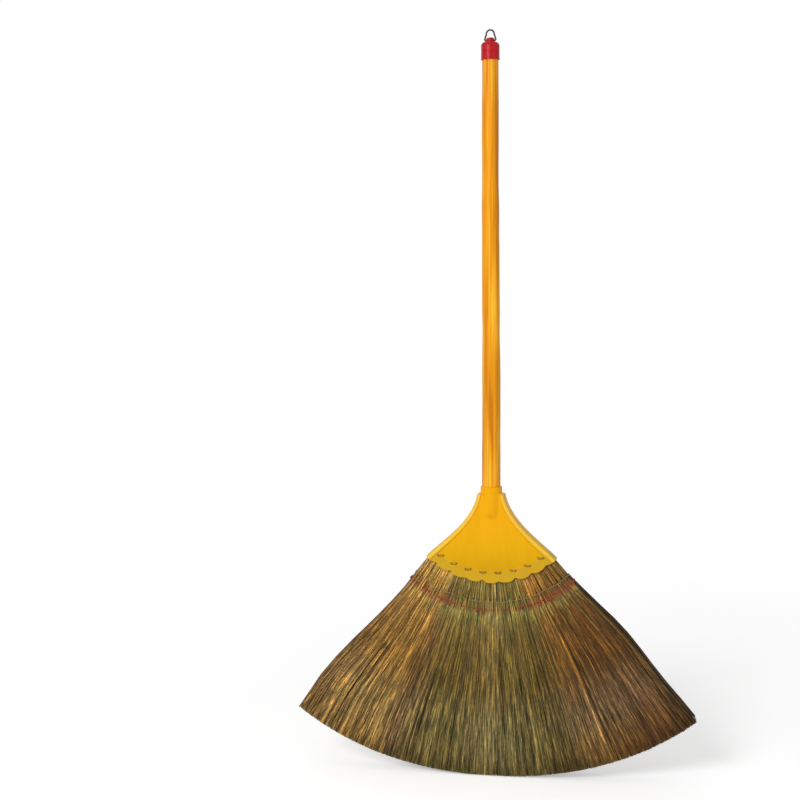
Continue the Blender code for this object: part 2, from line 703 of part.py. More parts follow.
def make_floor(shop):
    """What the lowest strands are cut flat against."""
    bm = bmesh.new()
    bmesh.ops.create_cube(bm, size=1)
    reach = 2 * (FAN_END_ARC_RADIUS + OVERRUN)
    bmesh.ops.scale(bm, verts=bm.verts, vec=(reach, reach, OVERRUN + FLOOR_TRIM))
    bmesh.ops.translate(bm, verts=bm.verts, vec=(0, 0, -(OVERRUN + FLOOR_TRIM) / 2))
    return shop.cutter(mesh_object("floor_level", bm))


def make_twine(shop, name, radius, finish):
    """One row of twine: over the front of every bunch, round the side, and back behind them."""
    face = MAT_HALF_THICKNESS - GROOVE_DEPTH + FIT_GAP + TWINE_RADIUS
    side = mat_half_angle(radius) + (FIT_GAP + TWINE_RADIUS) / radius
    corner = TWINE_CORNER_RADIUS
    run = side - corner / radius
    front = [(run * (2 * i / TWINE_STEPS - 1), -face) for i in range(TWINE_STEPS)]
    turn = arc((0, corner - face), corner, -math.pi / 2, 0, CORNER_STEPS)
    turn += arc((0, face - corner), corner, 0, math.pi / 2, CORNER_STEPS)
    half = front + [(run + x / radius, y) for x, y in turn]
    outline = half + [(-angle, -y) for angle, y in half]
    points = [fan_point(radius, angle, y) for angle, y in outline]
    shop.part(wire(name, points, TWINE_RADIUS, 1, cyclic=True), finish)


def main():
    clear_scene()
    shop = Workshop()
    stitch_channels = make_stitch_channels(shop)
    nail_channel = make_nail_channel(shop)
    floor = make_floor(shop)
    make_pole_core(shop, nail_channel)
    make_pole_film(shop, nail_channel)
    make_end_cap(shop)
    make_hang_loop(shop)
    make_head(shop, stitch_channels, nail_channel)
    make_nail(shop)
    for number, angle in enumerate(stitch_angles(), 1):
        make_stitch(shop, number, angle)
    for number in range(BUNCH_COUNT):
        make_bunch(shop, number, stitch_channels, floor)
    make_twine(shop, "pale_twine", PALE_ROW_RADIUS, "pale_twine")
    make_twine(shop, "red_twine", RED_ROW_RADIUS, "red_twine")
    bpy.context.view_layer.update()


main()
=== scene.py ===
import json
import math
from functools import partial
from typing import NamedTuple

import bmesh
import bpy
import numpy as np
from bpy.props import FloatProperty, FloatVectorProperty, IntProperty, PointerProperty
from bpy.types import Operator, PropertyGroup
from mathutils import Matrix, Vector


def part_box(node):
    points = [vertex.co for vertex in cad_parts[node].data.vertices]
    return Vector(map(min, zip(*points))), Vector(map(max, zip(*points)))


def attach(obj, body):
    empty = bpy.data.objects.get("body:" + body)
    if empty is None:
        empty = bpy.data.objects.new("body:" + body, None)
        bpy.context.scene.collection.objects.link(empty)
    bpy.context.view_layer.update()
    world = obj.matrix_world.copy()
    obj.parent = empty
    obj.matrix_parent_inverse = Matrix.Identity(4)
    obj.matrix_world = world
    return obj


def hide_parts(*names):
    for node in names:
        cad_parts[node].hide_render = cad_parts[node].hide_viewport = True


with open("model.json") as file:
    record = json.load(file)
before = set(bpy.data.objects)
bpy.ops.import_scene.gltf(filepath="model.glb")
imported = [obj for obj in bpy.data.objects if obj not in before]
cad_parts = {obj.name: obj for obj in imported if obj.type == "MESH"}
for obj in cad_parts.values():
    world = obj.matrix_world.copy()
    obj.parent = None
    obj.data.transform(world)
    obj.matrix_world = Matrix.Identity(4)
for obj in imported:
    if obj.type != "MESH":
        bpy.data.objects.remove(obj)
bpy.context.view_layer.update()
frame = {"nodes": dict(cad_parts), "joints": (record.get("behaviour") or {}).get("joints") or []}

bl_info = {
    "name": "Straw Broom",
    "version": (1, 0, 0),
    "blender": (4, 5, 0),
    "location": "View3D > Sidebar > Broom",
    "description": "Dresses a straw broom: grass, twine, moulded head, film-covered pole, "
                   "cap, loop and stitches",
    "category": "Add Mesh",
}

SEED = 11
SLIM = 1e-9
QUARTER = math.pi / 2
TURN = 2 * math.pi
ACROSS, DEPTHWISE, UPWARD = (1.0, 0.0, 0.0), (0.0, 1.0, 0.0), (0.0, 0.0, 1.0)

# Places read from the frame. The fan's radii and angles are taken about the fan centre, in the
# middle of the socket's mouth: an angle of 0 points straight down.
FAN_CENTRE_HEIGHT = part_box("head_shell")[1].z
CAP_MOUTH_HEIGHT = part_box("end_cap")[0].z
KNOB_TOP_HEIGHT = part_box("end_cap")[1].z
LOOP_TOP_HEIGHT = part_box("hang_loop")[1].z
FILM_LOW_HEIGHT, FILM_TOP_HEIGHT = (corner.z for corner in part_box("pole_film"))
STITCH_NODES = sorted(name for name in frame["nodes"] if name.startswith("stitch_"))
BUNCH_NODES = sorted(name for name in frame["nodes"] if name.startswith("grass_bunch_"))
PIVOT = Vector(frame["joints"][0]["pos_m"])


def linear(hex_colour):
    """Linear colour of an sRGB hex value such as #E0A010."""
    shares = [int(hex_colour[i:i + 2], 16) / 255 for i in (1, 3, 5)]
    return tuple(s / 12.92 if s <= 0.04045 else ((s + 0.055) / 1.055) ** 2.4 for s in shares)


def length_setting(name, default, description):
    return FloatProperty(name=name, description=description, default=default, min=0.0, precision=5,
                         subtype="DISTANCE", unit="LENGTH")


def angle_setting(name, degrees, description):
    return FloatProperty(name=name, description=description, default=math.radians(degrees),
                         subtype="ANGLE", unit="ROTATION")


def colour_setting(name, hex_colour, description):
    return FloatVectorProperty(name=name, description=description, default=linear(hex_colour), size=3,
                               min=0.0, max=1.0, subtype="COLOR")


def count_setting(name, default, least, most, description):
    return IntProperty(name=name, description=description, default=default, min=least, max=most)


class BroomPoleSettings(PropertyGroup):
    radius_at_socket: length_setting(
        "Radius at the socket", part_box("pole_film")[1].x, "Film radius where the pole enters the head")
    radius_at_cap: length_setting(
        "Radius at the cap", 0.0095, "Film radius where the pole enters the end cap")
    film_thickness: length_setting("Film thickness", 0.0004, "Wall of the shrunk film")
    waviness: length_setting("Waviness", 0.00035, "How far the stick's surface wanders from a true taper")
    film_colour: colour_setting("Film", "#EE9C0E", "Main colour of the film")
    streak_colour: colour_setting("Streaks", "#FFB82C", "Fine lengthwise streaks in the film")
    shade_colour: colour_setting("Thin stretches", "#D47E0C", "Film where it is drawn thin over the wood")
    wood_colour: colour_setting("Wood", "#B98F5E", "The stick itself")


class BroomCapSettings(PropertyGroup):
    wall: length_setting("Wall", 0.0009, "Wall of the cap's cup")
    ring_height: length_setting("Ring height", 0.0085, "Moulded ring line above the cap's mouth")
    knob_radius: length_setting("Knob radius", 0.0048, "Knob that holds the loop")
    wire_radius: length_setting("Loop wire radius", 0.0010, "Wire of the hanging loop")
    plastic_colour: colour_setting("Plastic", "#B8101A", "Red of the end cap")
    wire_colour: colour_setting("Wire", "#4B3A3A", "Dark wire of the loop")


class BroomHeadSettings(PropertyGroup):
    wall: length_setting("Wall", 0.0016, "Wall of the hollow head")
    rim_width: length_setting("Rim width", 0.0045, "Raised rim along both sides")
    rim_height: length_setting("Rim height", 0.0010, "How far the rim stands above the plate")
    band_radius: length_setting(
        "Lip band radius", 0.0995, "Radius about the fan centre where the lip band starts")
    lip_radius: length_setting("Lip radius", 0.1150, "Radius of the lip about the fan centre")
    notch_depth: length_setting("Notch depth", 0.0026, "Depth of the notches between the lip's scallops")
    plate_colour: colour_setting("Plastic", "#E9AE00", "Yellow of the moulded head")
    # The plate takes this yellow near the socket and turns darker lower down, towards the lip.
    socket_colour: colour_setting(
        "Near the gate", "#F3AE02", "Deeper yellow of the thick plastic round the socket")
    # The rims' paler yellow is a painted highlight, where their rounded tops catch the light.
    rim_highlight_colour: colour_setting("Rims", "#F2C84A", "Paler yellow of the worn rims")
    lip_colour: colour_setting("Lip", "#D2A41E", "Yellow of the lip band, where the grass shows through")


class BroomFastenerSettings(PropertyGroup):
    wire_radius: length_setting("Stitch wire radius", 0.0006, "Wire of the stitches")
    stitch_width: length_setting("Stitch width", 0.0066, "Distance between a stitch's two legs")
    wire_colour: colour_setting("Wire", "#97793E", "Bright wire of the stitches and the nail")


class BroomGrassSettings(PropertyGroup):
    strands: count_setting("Strands in a bunch", 265, 10, 400, "Fine panicle branches below the twine")
    stems: count_setting("Stems in a row", 5, 3, 12, "Stems across one face of a bunch, above the twine")
    sheaths: count_setting("Sheath tips in a bunch", 9, 0, 40, "Greenish leaf sheaths just below the twine")
    straws: count_setting("Loose straws in a bunch", 6, 0, 20, "Thin straws that lie over the twine")
    strand_radius: length_setting("Strand radius", 0.00055, "Mean radius of a strand")
    end_half_thickness: length_setting(
        "Half thickness at the floor", 0.0168, "Half the fan's thickness along its lower edge")


class BroomTwineSettings(PropertyGroup):
    pale_radius: length_setting("Pale row radius", 0.1383, "Radius of the pale row about the fan centre")
    red_radius: length_setting("Red row radius", 0.1475, "Radius of the red row about the fan centre")
    pale_colour: colour_setting("Pale twine", "#988470", "Undyed twine")
    red_colour: colour_setting("Red twine", "#8A3424", "Dyed twine")


class BroomStageSettings(PropertyGroup):
    azimuth: angle_setting("Camera azimuth", 11.0, "How far the camera stands to the broom's right")
    elevation: angle_setting("Camera elevation", 5.0, "How far the camera looks down")
    roll: angle_setting("Camera roll", -0.4375, "Tilt of the camera about its own line of sight")
    distance: length_setting("Camera distance", 1.8, "Distance from the camera to its target")
    focal_length: FloatProperty(name="Focal length", description="On a 36 mm sensor", default=67.8,
                                min=10.0, max=300.0, subtype="DISTANCE_CAMERA")


SETTINGS = {
    "broom_pole": BroomPoleSettings,
    "broom_cap": BroomCapSettings,
    "broom_head": BroomHeadSettings,
    "broom_fasteners": BroomFastenerSettings,
    "broom_grass": BroomGrassSettings,
    "broom_twine": BroomTwineSettings,
    "broom_stage": BroomStageSettings,
}


# Materials

MULTIPLY = {"data_type": "RGBA", "blend_type": "MULTIPLY"}


class Pattern(NamedTuple):
    """A noise pattern: its grain across and along Z in mm, its detail, and its tints and relief, if any."""
    grain_mm: tuple
    detail: float
    tints: tuple = ()
    relief: float = 0.0


def add_node(tree, kind, output, inputs=None, stops=(), **settings):
    """Adds a node and hands back one of its outputs. Inputs are values, or sockets that feed it, stops
    are the (place, colour) pairs of a colour ramp, and settings are the node's own values."""
    node = tree.nodes.new("ShaderNode" + kind)
    for name, value in settings.items():
        setattr(node, name, value)
    for name, value in (inputs or {}).items():
        if isinstance(value, bpy.types.NodeSocket):
            tree.links.new(value, node.inputs[name])
        else:
            node.inputs[name].default_value = value
    for i, (place, colour) in enumerate(stops):
        ramp = node.color_ramp.elements
        stop = ramp[i] if i < 2 else ramp.new(place)
        stop.position = place
        stop.color = (*colour, 1.0)
    return node.outputs[output] if output else None


def start_material(name):
    """An empty material, add_node for its tree, and object coordinates in metres."""
    material = bpy.data.materials.new(name)
    material.use_nodes = True
    material.node_tree.nodes.clear()
    add = partial(add_node, material.node_tree)
    return material, add, add("TexCoord", "Object")


def per_metre(millimetres):
    """Scale of a pattern whose cells measure so many millimetres."""
    return 1000.0 / millimetres


def greys(*stops):
    return tuple((place, (level, level, level)) for place, level in stops)


def shaded(colour, level):
    return tuple(level * share for share in colour)


def textured(name, patterns, surface, gloss=None, base=None):
    """A material of noise patterns. Their tints are multiplied, on a base if there is one, and their reliefs
    lie one over another. The first pattern runs the roughness through the gloss, if one is given."""
    material, add, place = start_material(name)
    colour = base(add, place) if base else None
    inputs = dict(surface)
    for pattern in patterns:
        across, along = (per_metre(size) for size in pattern.grain_mm)
        spot = add("Mapping", "Vector", {"Vector": place, "Scale": (across, across, along)})
        noise = add("TexNoise", "Fac", {"Vector": spot, "Scale": 1.0, "Detail": pattern.detail})
        if gloss and pattern is patterns[0]:
            inputs["Roughness"] = add("MapRange", "Result", {
                "Value": noise, "To Min": gloss[0], "To Max": gloss[1]})
        if pattern.tints:
            tint = add("ValToRGB", "Color", {"Fac": noise}, pattern.tints)
            colour = tint if colour is None else add("Mix", 2, {0: 1.0, 6: colour, 7: tint}, **MULTIPLY)
        if pattern.relief:
            below = {"Normal": inputs["Normal"]} if "Normal" in inputs else {}
            inputs["Normal"] = add("Bump", "Normal", {"Height": noise, "Distance": pattern.relief, **below})
    inputs["Base Color"] = colour
    add("OutputMaterial", None, {"Surface": add("BsdfPrincipled", "BSDF", inputs)})
    return material


def shrunk_pvc_film(pole):
    """PVC sleeve shrunk on a turned stick: glossy, with fine lengthwise streaks, long soft dents, and
    deeper orange stretches where it is drawn thin and the wood shows through."""
    stretches = zip((0.40, 0.52, 0.66), (pole.shade_colour, pole.film_colour, pole.streak_colour))
    streaks = greys((0.36, 0.80), (0.50, 0.97), (0.66, 1.16))
    surface = {"IOR": 1.50, "Specular IOR Level": 0.15}
    return textured("shrunk_pvc_film", surface=surface, gloss=(0.24, 0.38), patterns=(
        Pattern(grain_mm=(9, 170), detail=2.0, tints=tuple(stretches)),
        Pattern(grain_mm=(1.5, 120), detail=5.0, tints=streaks, relief=0.0001),
        Pattern(grain_mm=(12, 34), detail=2.0, relief=0.0006)))


def sanded_pine(pole):
    """Sanded softwood: matte, with darker late wood in long lines."""
    rings = ((0.40, pole.wood_colour), (0.60, shaded(pole.wood_colour, 0.55)))
    return textured("sanded_pine", surface={"Roughness": 0.7}, patterns=(
        Pattern(grain_mm=(1.8, 120), detail=5.0, tints=rings, relief=0.0001),))


def moulded_polyethylene(cap):
    """Injection-moulded polyethylene: waxy satin red, with fine scratches from handling and darker
    patches where hands have rubbed dirt in."""
    wear = ((0.46, cap.plastic_colour), (0.78, shaded(cap.plastic_colour, 0.55)))
    surface = {"IOR": 1.50, "Specular IOR Level": 0.20}
    return textured("moulded_polyethylene", surface=surface, gloss=(0.24, 0.48), patterns=(
        Pattern(grain_mm=(5, 5), detail=4.0, tints=wear),
        Pattern(grain_mm=(1.1, 9), detail=3.0, relief=0.00006)))


def moulded_polypropylene(head):
    """Injection-moulded polypropylene: satin, deeper yellow round the socket and darker towards the lip, with
    a painted highlight on the rims, faint flow lines and the unevenness of a wall that shrank as it cooled.
    The "rim" and "lip" marks say how much a point belongs to either."""
    # Heights over which the plate goes from a darker yellow low down to a deeper yellow near the socket.
    plate_heights = {"From Min": FAN_CENTRE_HEIGHT - 0.100, "From Max": FAN_CENTRE_HEIGHT - 0.020}

    def base(add, place):
        near_socket = add("MapRange", "Result", {"Value": add("SeparateXYZ", "Z", {0: place}), **plate_heights})
        colour = add("ValToRGB", "Color", {"Fac": near_socket}, (
            (0.0, shaded(head.plate_colour, 0.84)), (0.35, head.plate_colour), (0.65, head.socket_colour)))
        # The lip takes its own yellow where the grass shows through; the rims take a painted highlight.
        for name, zone_colour in (("lip", head.lip_colour), ("rim", head.rim_highlight_colour)):
            zone = add("Attribute", "Fac", attribute_name=name)
            colour = add("Mix", 2, {0: zone, 6: colour, 7: (*zone_colour, 1.0)}, data_type="RGBA")
        return colour

    surface = {"IOR": 1.49, "Specular IOR Level": 0.12}
    return textured("moulded_polypropylene", surface=surface, gloss=(0.30, 0.46), base=base, patterns=(
        Pattern(grain_mm=(7, 30), detail=3.0, tints=greys((0.34, 0.97), (0.68, 1.03))),
        Pattern(grain_mm=(17, 17), detail=1.5, relief=0.0005),
        Pattern(grain_mm=(0.9, 0.9), detail=2.0, relief=0.00002)))


def annealed_wire(cap):
    """Annealed iron wire: a brown-grey oxide skin with a few rust specks."""
    specks = ((0.55, cap.wire_colour), (0.72, linear("#6E4028")))
    return textured("annealed_wire", surface={"Metallic": 0.85}, gloss=(0.30, 0.70), patterns=(
        Pattern(grain_mm=(1.2, 1.2), detail=4.0, tints=specks, relief=0.00004),))


def galvanised_wire(fasteners):
    """Galvanised steel wire: bright, with dull spangles of zinc."""
    spangles = ((0.45, fasteners.wire_colour), (0.70, shaded(fasteners.wire_colour, 0.7)))
    return textured("galvanised_wire", surface={"Metallic": 1.0}, gloss=(0.22, 0.50), patterns=(
        Pattern(grain_mm=(0.8, 0.8), detail=3.0, tints=spangles),))


def spun_twine(name, colour):
    """Spun twine: matte fibres, with the dye worn off the crowns of the lay."""
    worn = tuple(min(1.0, 1.5 * share + 0.03) for share in colour)
    return textured(name, surface={"Roughness": 0.85, "Specular IOR Level": 0.2}, patterns=(
        Pattern(grain_mm=(0.7, 0.7), detail=4.0, tints=((0.45, colour), (0.75, worn)), relief=0.0002),))


# The grass across the fan, from its left side (0) to its right side (1): its colour, how much of it is
# faded, and how much dye it has taken from the red row
GRASS_ZONES = tuple((place, linear(colour)) for place, colour in (
    (0.00, "#AE8048"), (0.10, "#C3954F"), (0.20, "#BA8F4A"), (0.25, "#86633B"), (0.32, "#9E8444"),
    (0.41, "#867039"), (0.50, "#A08850"), (0.64, "#8E763B"), (0.70, "#765D29"), (0.765, "#AD7F40"),
    (0.81, "#9B6B2C"), (0.93, "#754A1E"), (1.00, "#6D4A21")))
FADED_ZONES = greys((0.66, 0.0), (0.78, 0.32), (0.90, 0.24), (1.0, 0.05))
DYED_ZONES = greys((0.05, 0.45), (0.16, 0.75), (0.24, 0.8), (0.32, 0.3), (0.42, 0.15), (0.74, 0.2),
                   (0.85, 0.75), (0.93, 0.85))
# Along it, from the lip (0) to the tips (1): painted light on the stems, painted shade over the dense
# # panicles, and a painted lift towards the tips, which are also greyer where bleached
GRASS_LENGTH_LIGHT_AND_GREY = ((0.00, (1.06, 1.08, 0.96)), (0.30, (0.94, 0.87, 0.70)), (0.52, (0.87, 0.81, 0.63)),
                 (0.75, (1.02, 1.15, 1.43)), (1.00, (1.02, 1.12, 1.28)))
FADED_LENGTHS = greys((0.50, 0.0), (0.68, 1.0), (0.80, 0.8), (0.92, 0.2))
# Within it: from strand to strand, along each strand, and from tuft to tuft, where the tufts' light and
# # dark is painted highlight and painted shade
STRAND_TONES = greys((0.0, 0.18), (0.30, 0.62), (0.65, 1.0), (1.0, 1.7))
JOINT_TONES = greys((0.34, 0.70), (0.68, 1.30))
TUFT_HIGHLIGHT_AND_SHADE = ((0.36, (0.68, 0.71, 0.74)), (0.50, (1.0, 1.0, 1.0)), (0.64, (1.30, 1.26, 1.14)))
TUFT_SIZE = (per_metre(24), 130.0, per_metre(5))
# Three layers of tufts: how far each leans across the fan, and where in the pattern it starts
TUFT_LEANS = ((-0.45, 0.0), (0.0, 7.0), (0.45, 13.0))
JOINT_SIZE = (per_metre(7), 900.0, 90.0)
SHEATH_GREEN, FADED_GREY, DYE_RED = ((*linear(colour), 1.0) for colour in ("#869858", "#A68A6E", "#A65A44"))
STEMS_SHOWN = 0.02
DYE_REACH = {"From Min": 0.001, "From Max": 0.0075, "To Min": 1.0, "To Max": 0.0}
GRASS_MARKS = ("zone", "tone", "green", "along")


def dried_grass(twine):
    """Dried panicle grass: silky straw-coloured strands, each of its own tone, with painted highlights and
    painted shade in short lengths where tufts lie across one another, painted shade over the dense middle and
    a painted lift towards the tips, which are also greyer where bleached, with green left in the sheaths and
    the twine's dye bled in round the red row. The marks give each strand's zone of the fan, its tone, how
    green it is and how far from the fan centre a point lies."""
    material, add, place = start_material("dried_grass")
    zone, tone, green, along = (add("Attribute", "Fac", attribute_name=name) for name in GRASS_MARKS)
    length = add("MapRange", "Result", {
        "Value": along, "From Min": twine.pale_radius - STEMS_SHOWN, "From Max": FAN_CENTRE_HEIGHT})
    faded = add("ValToRGB", "Color", {"Fac": zone}, FADED_ZONES)
    fading = add("ValToRGB", "Color", {"Fac": length}, FADED_LENGTHS)
    faded = add("Math", "Value", {0: faded, 1: fading}, operation="MULTIPLY")
    base = add("ValToRGB", "Color", {"Fac": zone}, GRASS_ZONES)
    for share, colour in ((green, SHEATH_GREEN), (faded, FADED_GREY)):
        base = add("Mix", 2, {0: share, 6: base, 7: colour}, data_type="RGBA")
    strand = add("CombineXYZ", "Vector", {"X": along, "Y": zone, "Z": tone})
    strand = add("Mapping", "Vector", {"Vector": strand, "Scale": JOINT_SIZE})
    joints = add("TexNoise", "Fac", {"Vector": strand, "Scale": 1.0, "Detail": 2.0})
    across, through, height = (add("SeparateXYZ", axis, {0: place}) for axis in "XYZ")
    drop = add("Math", "Value", {0: FAN_CENTRE_HEIGHT, 1: height}, operation="SUBTRACT")
    angle = add("Math", "Value", {0: across, 1: drop}, operation="ARCTAN2")
    tints = []
    # Three layers of tufts, each laying painted highlights and painted shade over the grass.
    for lean, offset in TUFT_LEANS:
        leaning = add("Math", "Value", {0: along, 1: lean, 2: angle}, operation="MULTIPLY_ADD")
        spot = add("CombineXYZ", "Vector", {"X": along, "Y": leaning, "Z": through})
        spot = add("Mapping", "Vector", {"Vector": spot, "Location": (offset, 0.0, 0.0), "Scale": TUFT_SIZE})
        tufts = add("TexNoise", "Fac", {"Vector": spot, "Scale": 1.0, "Detail": 2.0})
        tints.append(add("ValToRGB", "Color", {"Fac": tufts}, TUFT_HIGHLIGHT_AND_SHADE))
    for value, stops in ((tone, STRAND_TONES), (joints, JOINT_TONES), (length, GRASS_LENGTH_LIGHT_AND_GREY)):
        tints.append(add("ValToRGB", "Color", {"Fac": value}, stops))
    for tint in tints:
        base = add("Mix", 2, {0: 1.0, 6: base, 7: tint}, **MULTIPLY)
    offset = add("Math", "Value", {0: along, 1: twine.red_radius}, operation="SUBTRACT")
    offset = add("Math", "Value", {0: offset}, operation="ABSOLUTE")
    dye = add("MapRange", "Result", {"Value": offset, **DYE_REACH})
    for share in (joints, add("ValToRGB", "Color", {"Fac": zone}, DYED_ZONES)):
        dye = add("Math", "Value", {0: dye, 1: share}, operation="MULTIPLY")
    base = add("Mix", 2, {0: dye, 6: base, 7: DYE_RED}, data_type="RGBA")
    relief = add("Bump", "Normal", {"Height": joints, "Distance": 0.0002})
    add("OutputMaterial", None, {"Surface": add("BsdfPrincipled", "BSDF", {
        "Base Color": base, "Roughness": 0.55, "IOR": 1.45, "Specular IOR Level": 0.35, "Normal": relief})})
    return material


# Meshes

TURNED_STEPS = 64


def new_object(name, data):
    """An object in the scene that shows a mesh, a light or a camera."""
    made = bpy.data.objects.new(name, data)
    bpy.context.scene.collection.objects.link(made)
    return made


def new_piece(name, points, faces):
    """A smooth-shaded mesh object."""
    mesh = bpy.data.meshes.new(name)
    mesh.from_pydata(np.asarray(points).tolist(), [], faces)
    mesh.shade_smooth()
    return new_object(name, mesh)


def dress(piece, material, slot, *nodes, body="broom"):
    """Gives a piece its finish, and lets it ride on a body in place of the plain solids it stands for."""
    piece.data.materials.append(material)
    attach(piece, body)
    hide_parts(*nodes)


def repaint(node, material):
    """Gives a solid that stays in view its finish."""
    solid = frame["nodes"][node]
    solid.data.materials.clear()
    solid.data.materials.append(material)


def sharpen(piece, degrees):
    piece.data.set_sharp_from_angle(angle=math.radians(degrees))


def loft(name, rings, closed=False):
    """A skin over a row of rings with as many points each, capped at both ends or closed on itself."""
    count = len(rings[0])
    starts = [count * i for i in range(len(rings))]
    faces = []
    for low, high in zip(starts, starts[1:] + starts[:1] * closed):
        for i in range(count):
            j = (i + 1) % count
            faces.append((low + i, low + j, high + j, high + i))
    if not closed:
        faces.append(tuple(reversed(range(count))))
        faces.append(tuple(starts[-1] + i for i in range(count)))
    piece = new_piece(name, [point for ring in rings for point in ring], faces)
    bm = bmesh.new()
    bm.from_mesh(piece.data)
    bmesh.ops.recalc_face_normals(bm, faces=bm.faces)
    bm.to_mesh(piece.data)
    bm.free()
    piece.data.shade_smooth()
    return piece


def lathe(name, profile, steps=TURNED_STEPS):
    """A turned piece from (radius, height) points, with its ends closed."""
    angles = [TURN * i / steps for i in range(steps)]
    return loft(name, [[(radius * math.cos(a), radius * math.sin(a), height) for a in angles]
                       for radius, height in profile])


def arc(centre, radius, start, end, steps=8):
    """Points of a flat arc, from one angle to another."""
    angles = [start + (end - start) * i / steps for i in range(steps + 1)]
    return [(centre[0] + radius * math.cos(a), centre[1] + radius * math.sin(a)) for a in angles]


def mirrored(outline):
    """The same outline on the other side of the middle plane, walked the other way."""
    return [(-x, y) for x, y in reversed(outline)]


def cut(piece, cutters):
    """Cuts closed solids out of a piece for good, and removes them."""
    for cutter in cutters:
        modifier = piece.modifiers.new("cut", "BOOLEAN")
        modifier.object = cutter
        modifier.operation = "DIFFERENCE"
        modifier.solver = "EXACT"
    graph = bpy.context.evaluated_depsgraph_get()
    mesh = bpy.data.meshes.new_from_object(piece.evaluated_get(graph))
    piece.modifiers.clear()
    piece.data = mesh
    for cutter in cutters:
        bpy.data.objects.remove(cutter, do_unlink=True)


def rods(name, places, radius, half_length, axis, sides=16):
    """Round rods of one size along an axis, in one object."""
    bm = bmesh.new()
    turn = Vector(UPWARD).rotation_difference(Vector(axis)).to_matrix().to_4x4()
    for place in places:
        bmesh.ops.create_cone(bm, cap_ends=True, segments=sides, radius1=radius, radius2=radius,
                              depth=2 * half_length, matrix=Matrix.Translation(place) @ turn)
    mesh = bpy.data.meshes.new(name)
    bm.to_mesh(mesh)
    bm.free()
    return new_object(name, mesh)


def unit(vectors):
    return vectors / np.maximum(np.linalg.norm(vectors, axis=-1, keepdims=True), SLIM)


def tube_shapes(paths, radii, sides, reference, flatness=1.0):
    """Points and faces of many tubes with closed ends. Paths are (tube, ring, xyz), radii (tube, ring) or one
    value, and reference is a direction that no tube runs along. A flat tube is thinner along it."""
    radii = np.broadcast_to(radii, paths.shape[:2])
    along = unit(np.gradient(paths, axis=1))
    across = unit(np.cross(along, reference))
    through = np.cross(across, along)
    angles = np.arange(sides) * TURN / sides
    circle = (np.cos(angles)[:, None] * across[:, :, None]
              + flatness * np.sin(angles)[:, None] * through[:, :, None])
    points = paths[:, :, None] + radii[:, :, None, None] * circle
    index = np.arange(radii.size * sides).reshape(*radii.shape, sides)
    here, there = index[:, :-1], index[:, 1:]
    quads = np.stack([here, there, np.roll(there, -1, 2), np.roll(here, -1, 2)], axis=-1)
    faces = quads.reshape(-1, 4).tolist() + index[:, 0].tolist() + index[:, -1, ::-1].tolist()
    return points.reshape(-1, 3), faces


def wire(name, path, radius, sides, reference):
    """A bent round wire with closed ends."""
    piece = new_piece(name, *tube_shapes(np.array([path]), radius, sides, reference))
    sharpen(piece, 60)
    return piece


def joined(shapes):
    """Points and faces of several shapes as one."""
    points, faces, offset = [], [], 0
    for part_points, part_faces in shapes:
        points.append(part_points)
        faces += [[corner + offset for corner in face] for face in part_faces]
        offset += len(part_points)
    return np.concatenate(points), faces


def mark(piece, name, values):
    """Stores one number a point, for the material to read."""
    layer = piece.data.attributes.new(name, "FLOAT", "POINT")
    layer.data.foreach_set("value", np.asarray(values, dtype=np.float32))


def fan_point(radius, angle, through=0.0):
    """A point of the fan, about the fan centre. Angles count from straight down, towards +X."""
    radius, angle, through = np.broadcast_arrays(radius, angle, through)
    return np.stack([radius * np.sin(angle), through, FAN_CENTRE_HEIGHT - radius * np.cos(angle)], axis=-1)


# Pole

class BROOM_OT_pole(Operator):
    """Builds the film sleeve of the pole and paints the stick inside it"""
    bl_idname = "broom.pole"
    bl_label = "Pole"

    RINGS = 150
    SWELLS = ((0.061, 0.7, 0.9), (0.097, 1.0, 2.1), (0.173, 1.1, 4.0), (0.041, 0.4, 5.2))
    BOWS = ((0.41, 1.0, 0.4), (0.23, 0.45, 2.6))
    SWELL_SHARE = 0.4
    SWELL_SLANT = 0.012

    def wander(self, height, waves):
        """A sum of waves, each a wavelength in metres, a share and a phase. It dies away at both ends."""
        share = (height - FAN_CENTRE_HEIGHT) / (CAP_MOUTH_HEIGHT - FAN_CENTRE_HEIGHT)
        window = math.sqrt(math.sin(math.pi * min(1.0, max(0.0, share))))
        return window * sum(part * math.sin(TURN * height / length + phase) for length, part, phase in waves)

    def execute(self, context):
        pole = context.scene.broom_pole
        taper = (pole.radius_at_cap - pole.radius_at_socket) / (CAP_MOUTH_HEIGHT - FAN_CENTRE_HEIGHT)
        rings = []
        for i in range(self.RINGS + 1):
            height = FILM_LOW_HEIGHT + (FILM_TOP_HEIGHT - FILM_LOW_HEIGHT) * i / self.RINGS
            radius = pole.radius_at_socket + taper * max(0.0, height - FAN_CENTRE_HEIGHT)
            sway = pole.waviness * self.wander(height, self.BOWS)
            ring = []
            for k in range(TURNED_STEPS):
                angle = TURN * k / TURNED_STEPS
                swell = self.wander(height + self.SWELL_SLANT * math.sin(angle), self.SWELLS)
                reach = radius + self.SWELL_SHARE * pole.waviness * swell
                ring.append((sway + reach * math.cos(angle), reach * math.sin(angle), height))
            rings.append(ring)
        share = 1 - pole.film_thickness / pole.radius_at_socket
        inside = [[(x * share, y * share, z) for x, y, z in ring] for ring in reversed(rings)]
        sleeve = loft("film_sleeve", rings + inside, closed=True)
        sharpen(sleeve, 60)
        dress(sleeve, shrunk_pvc_film(pole), "yellow_film", "pole_film")
        repaint("pole_core", sanded_pine(pole))
        return {"FINISHED"}


# End cap and loop

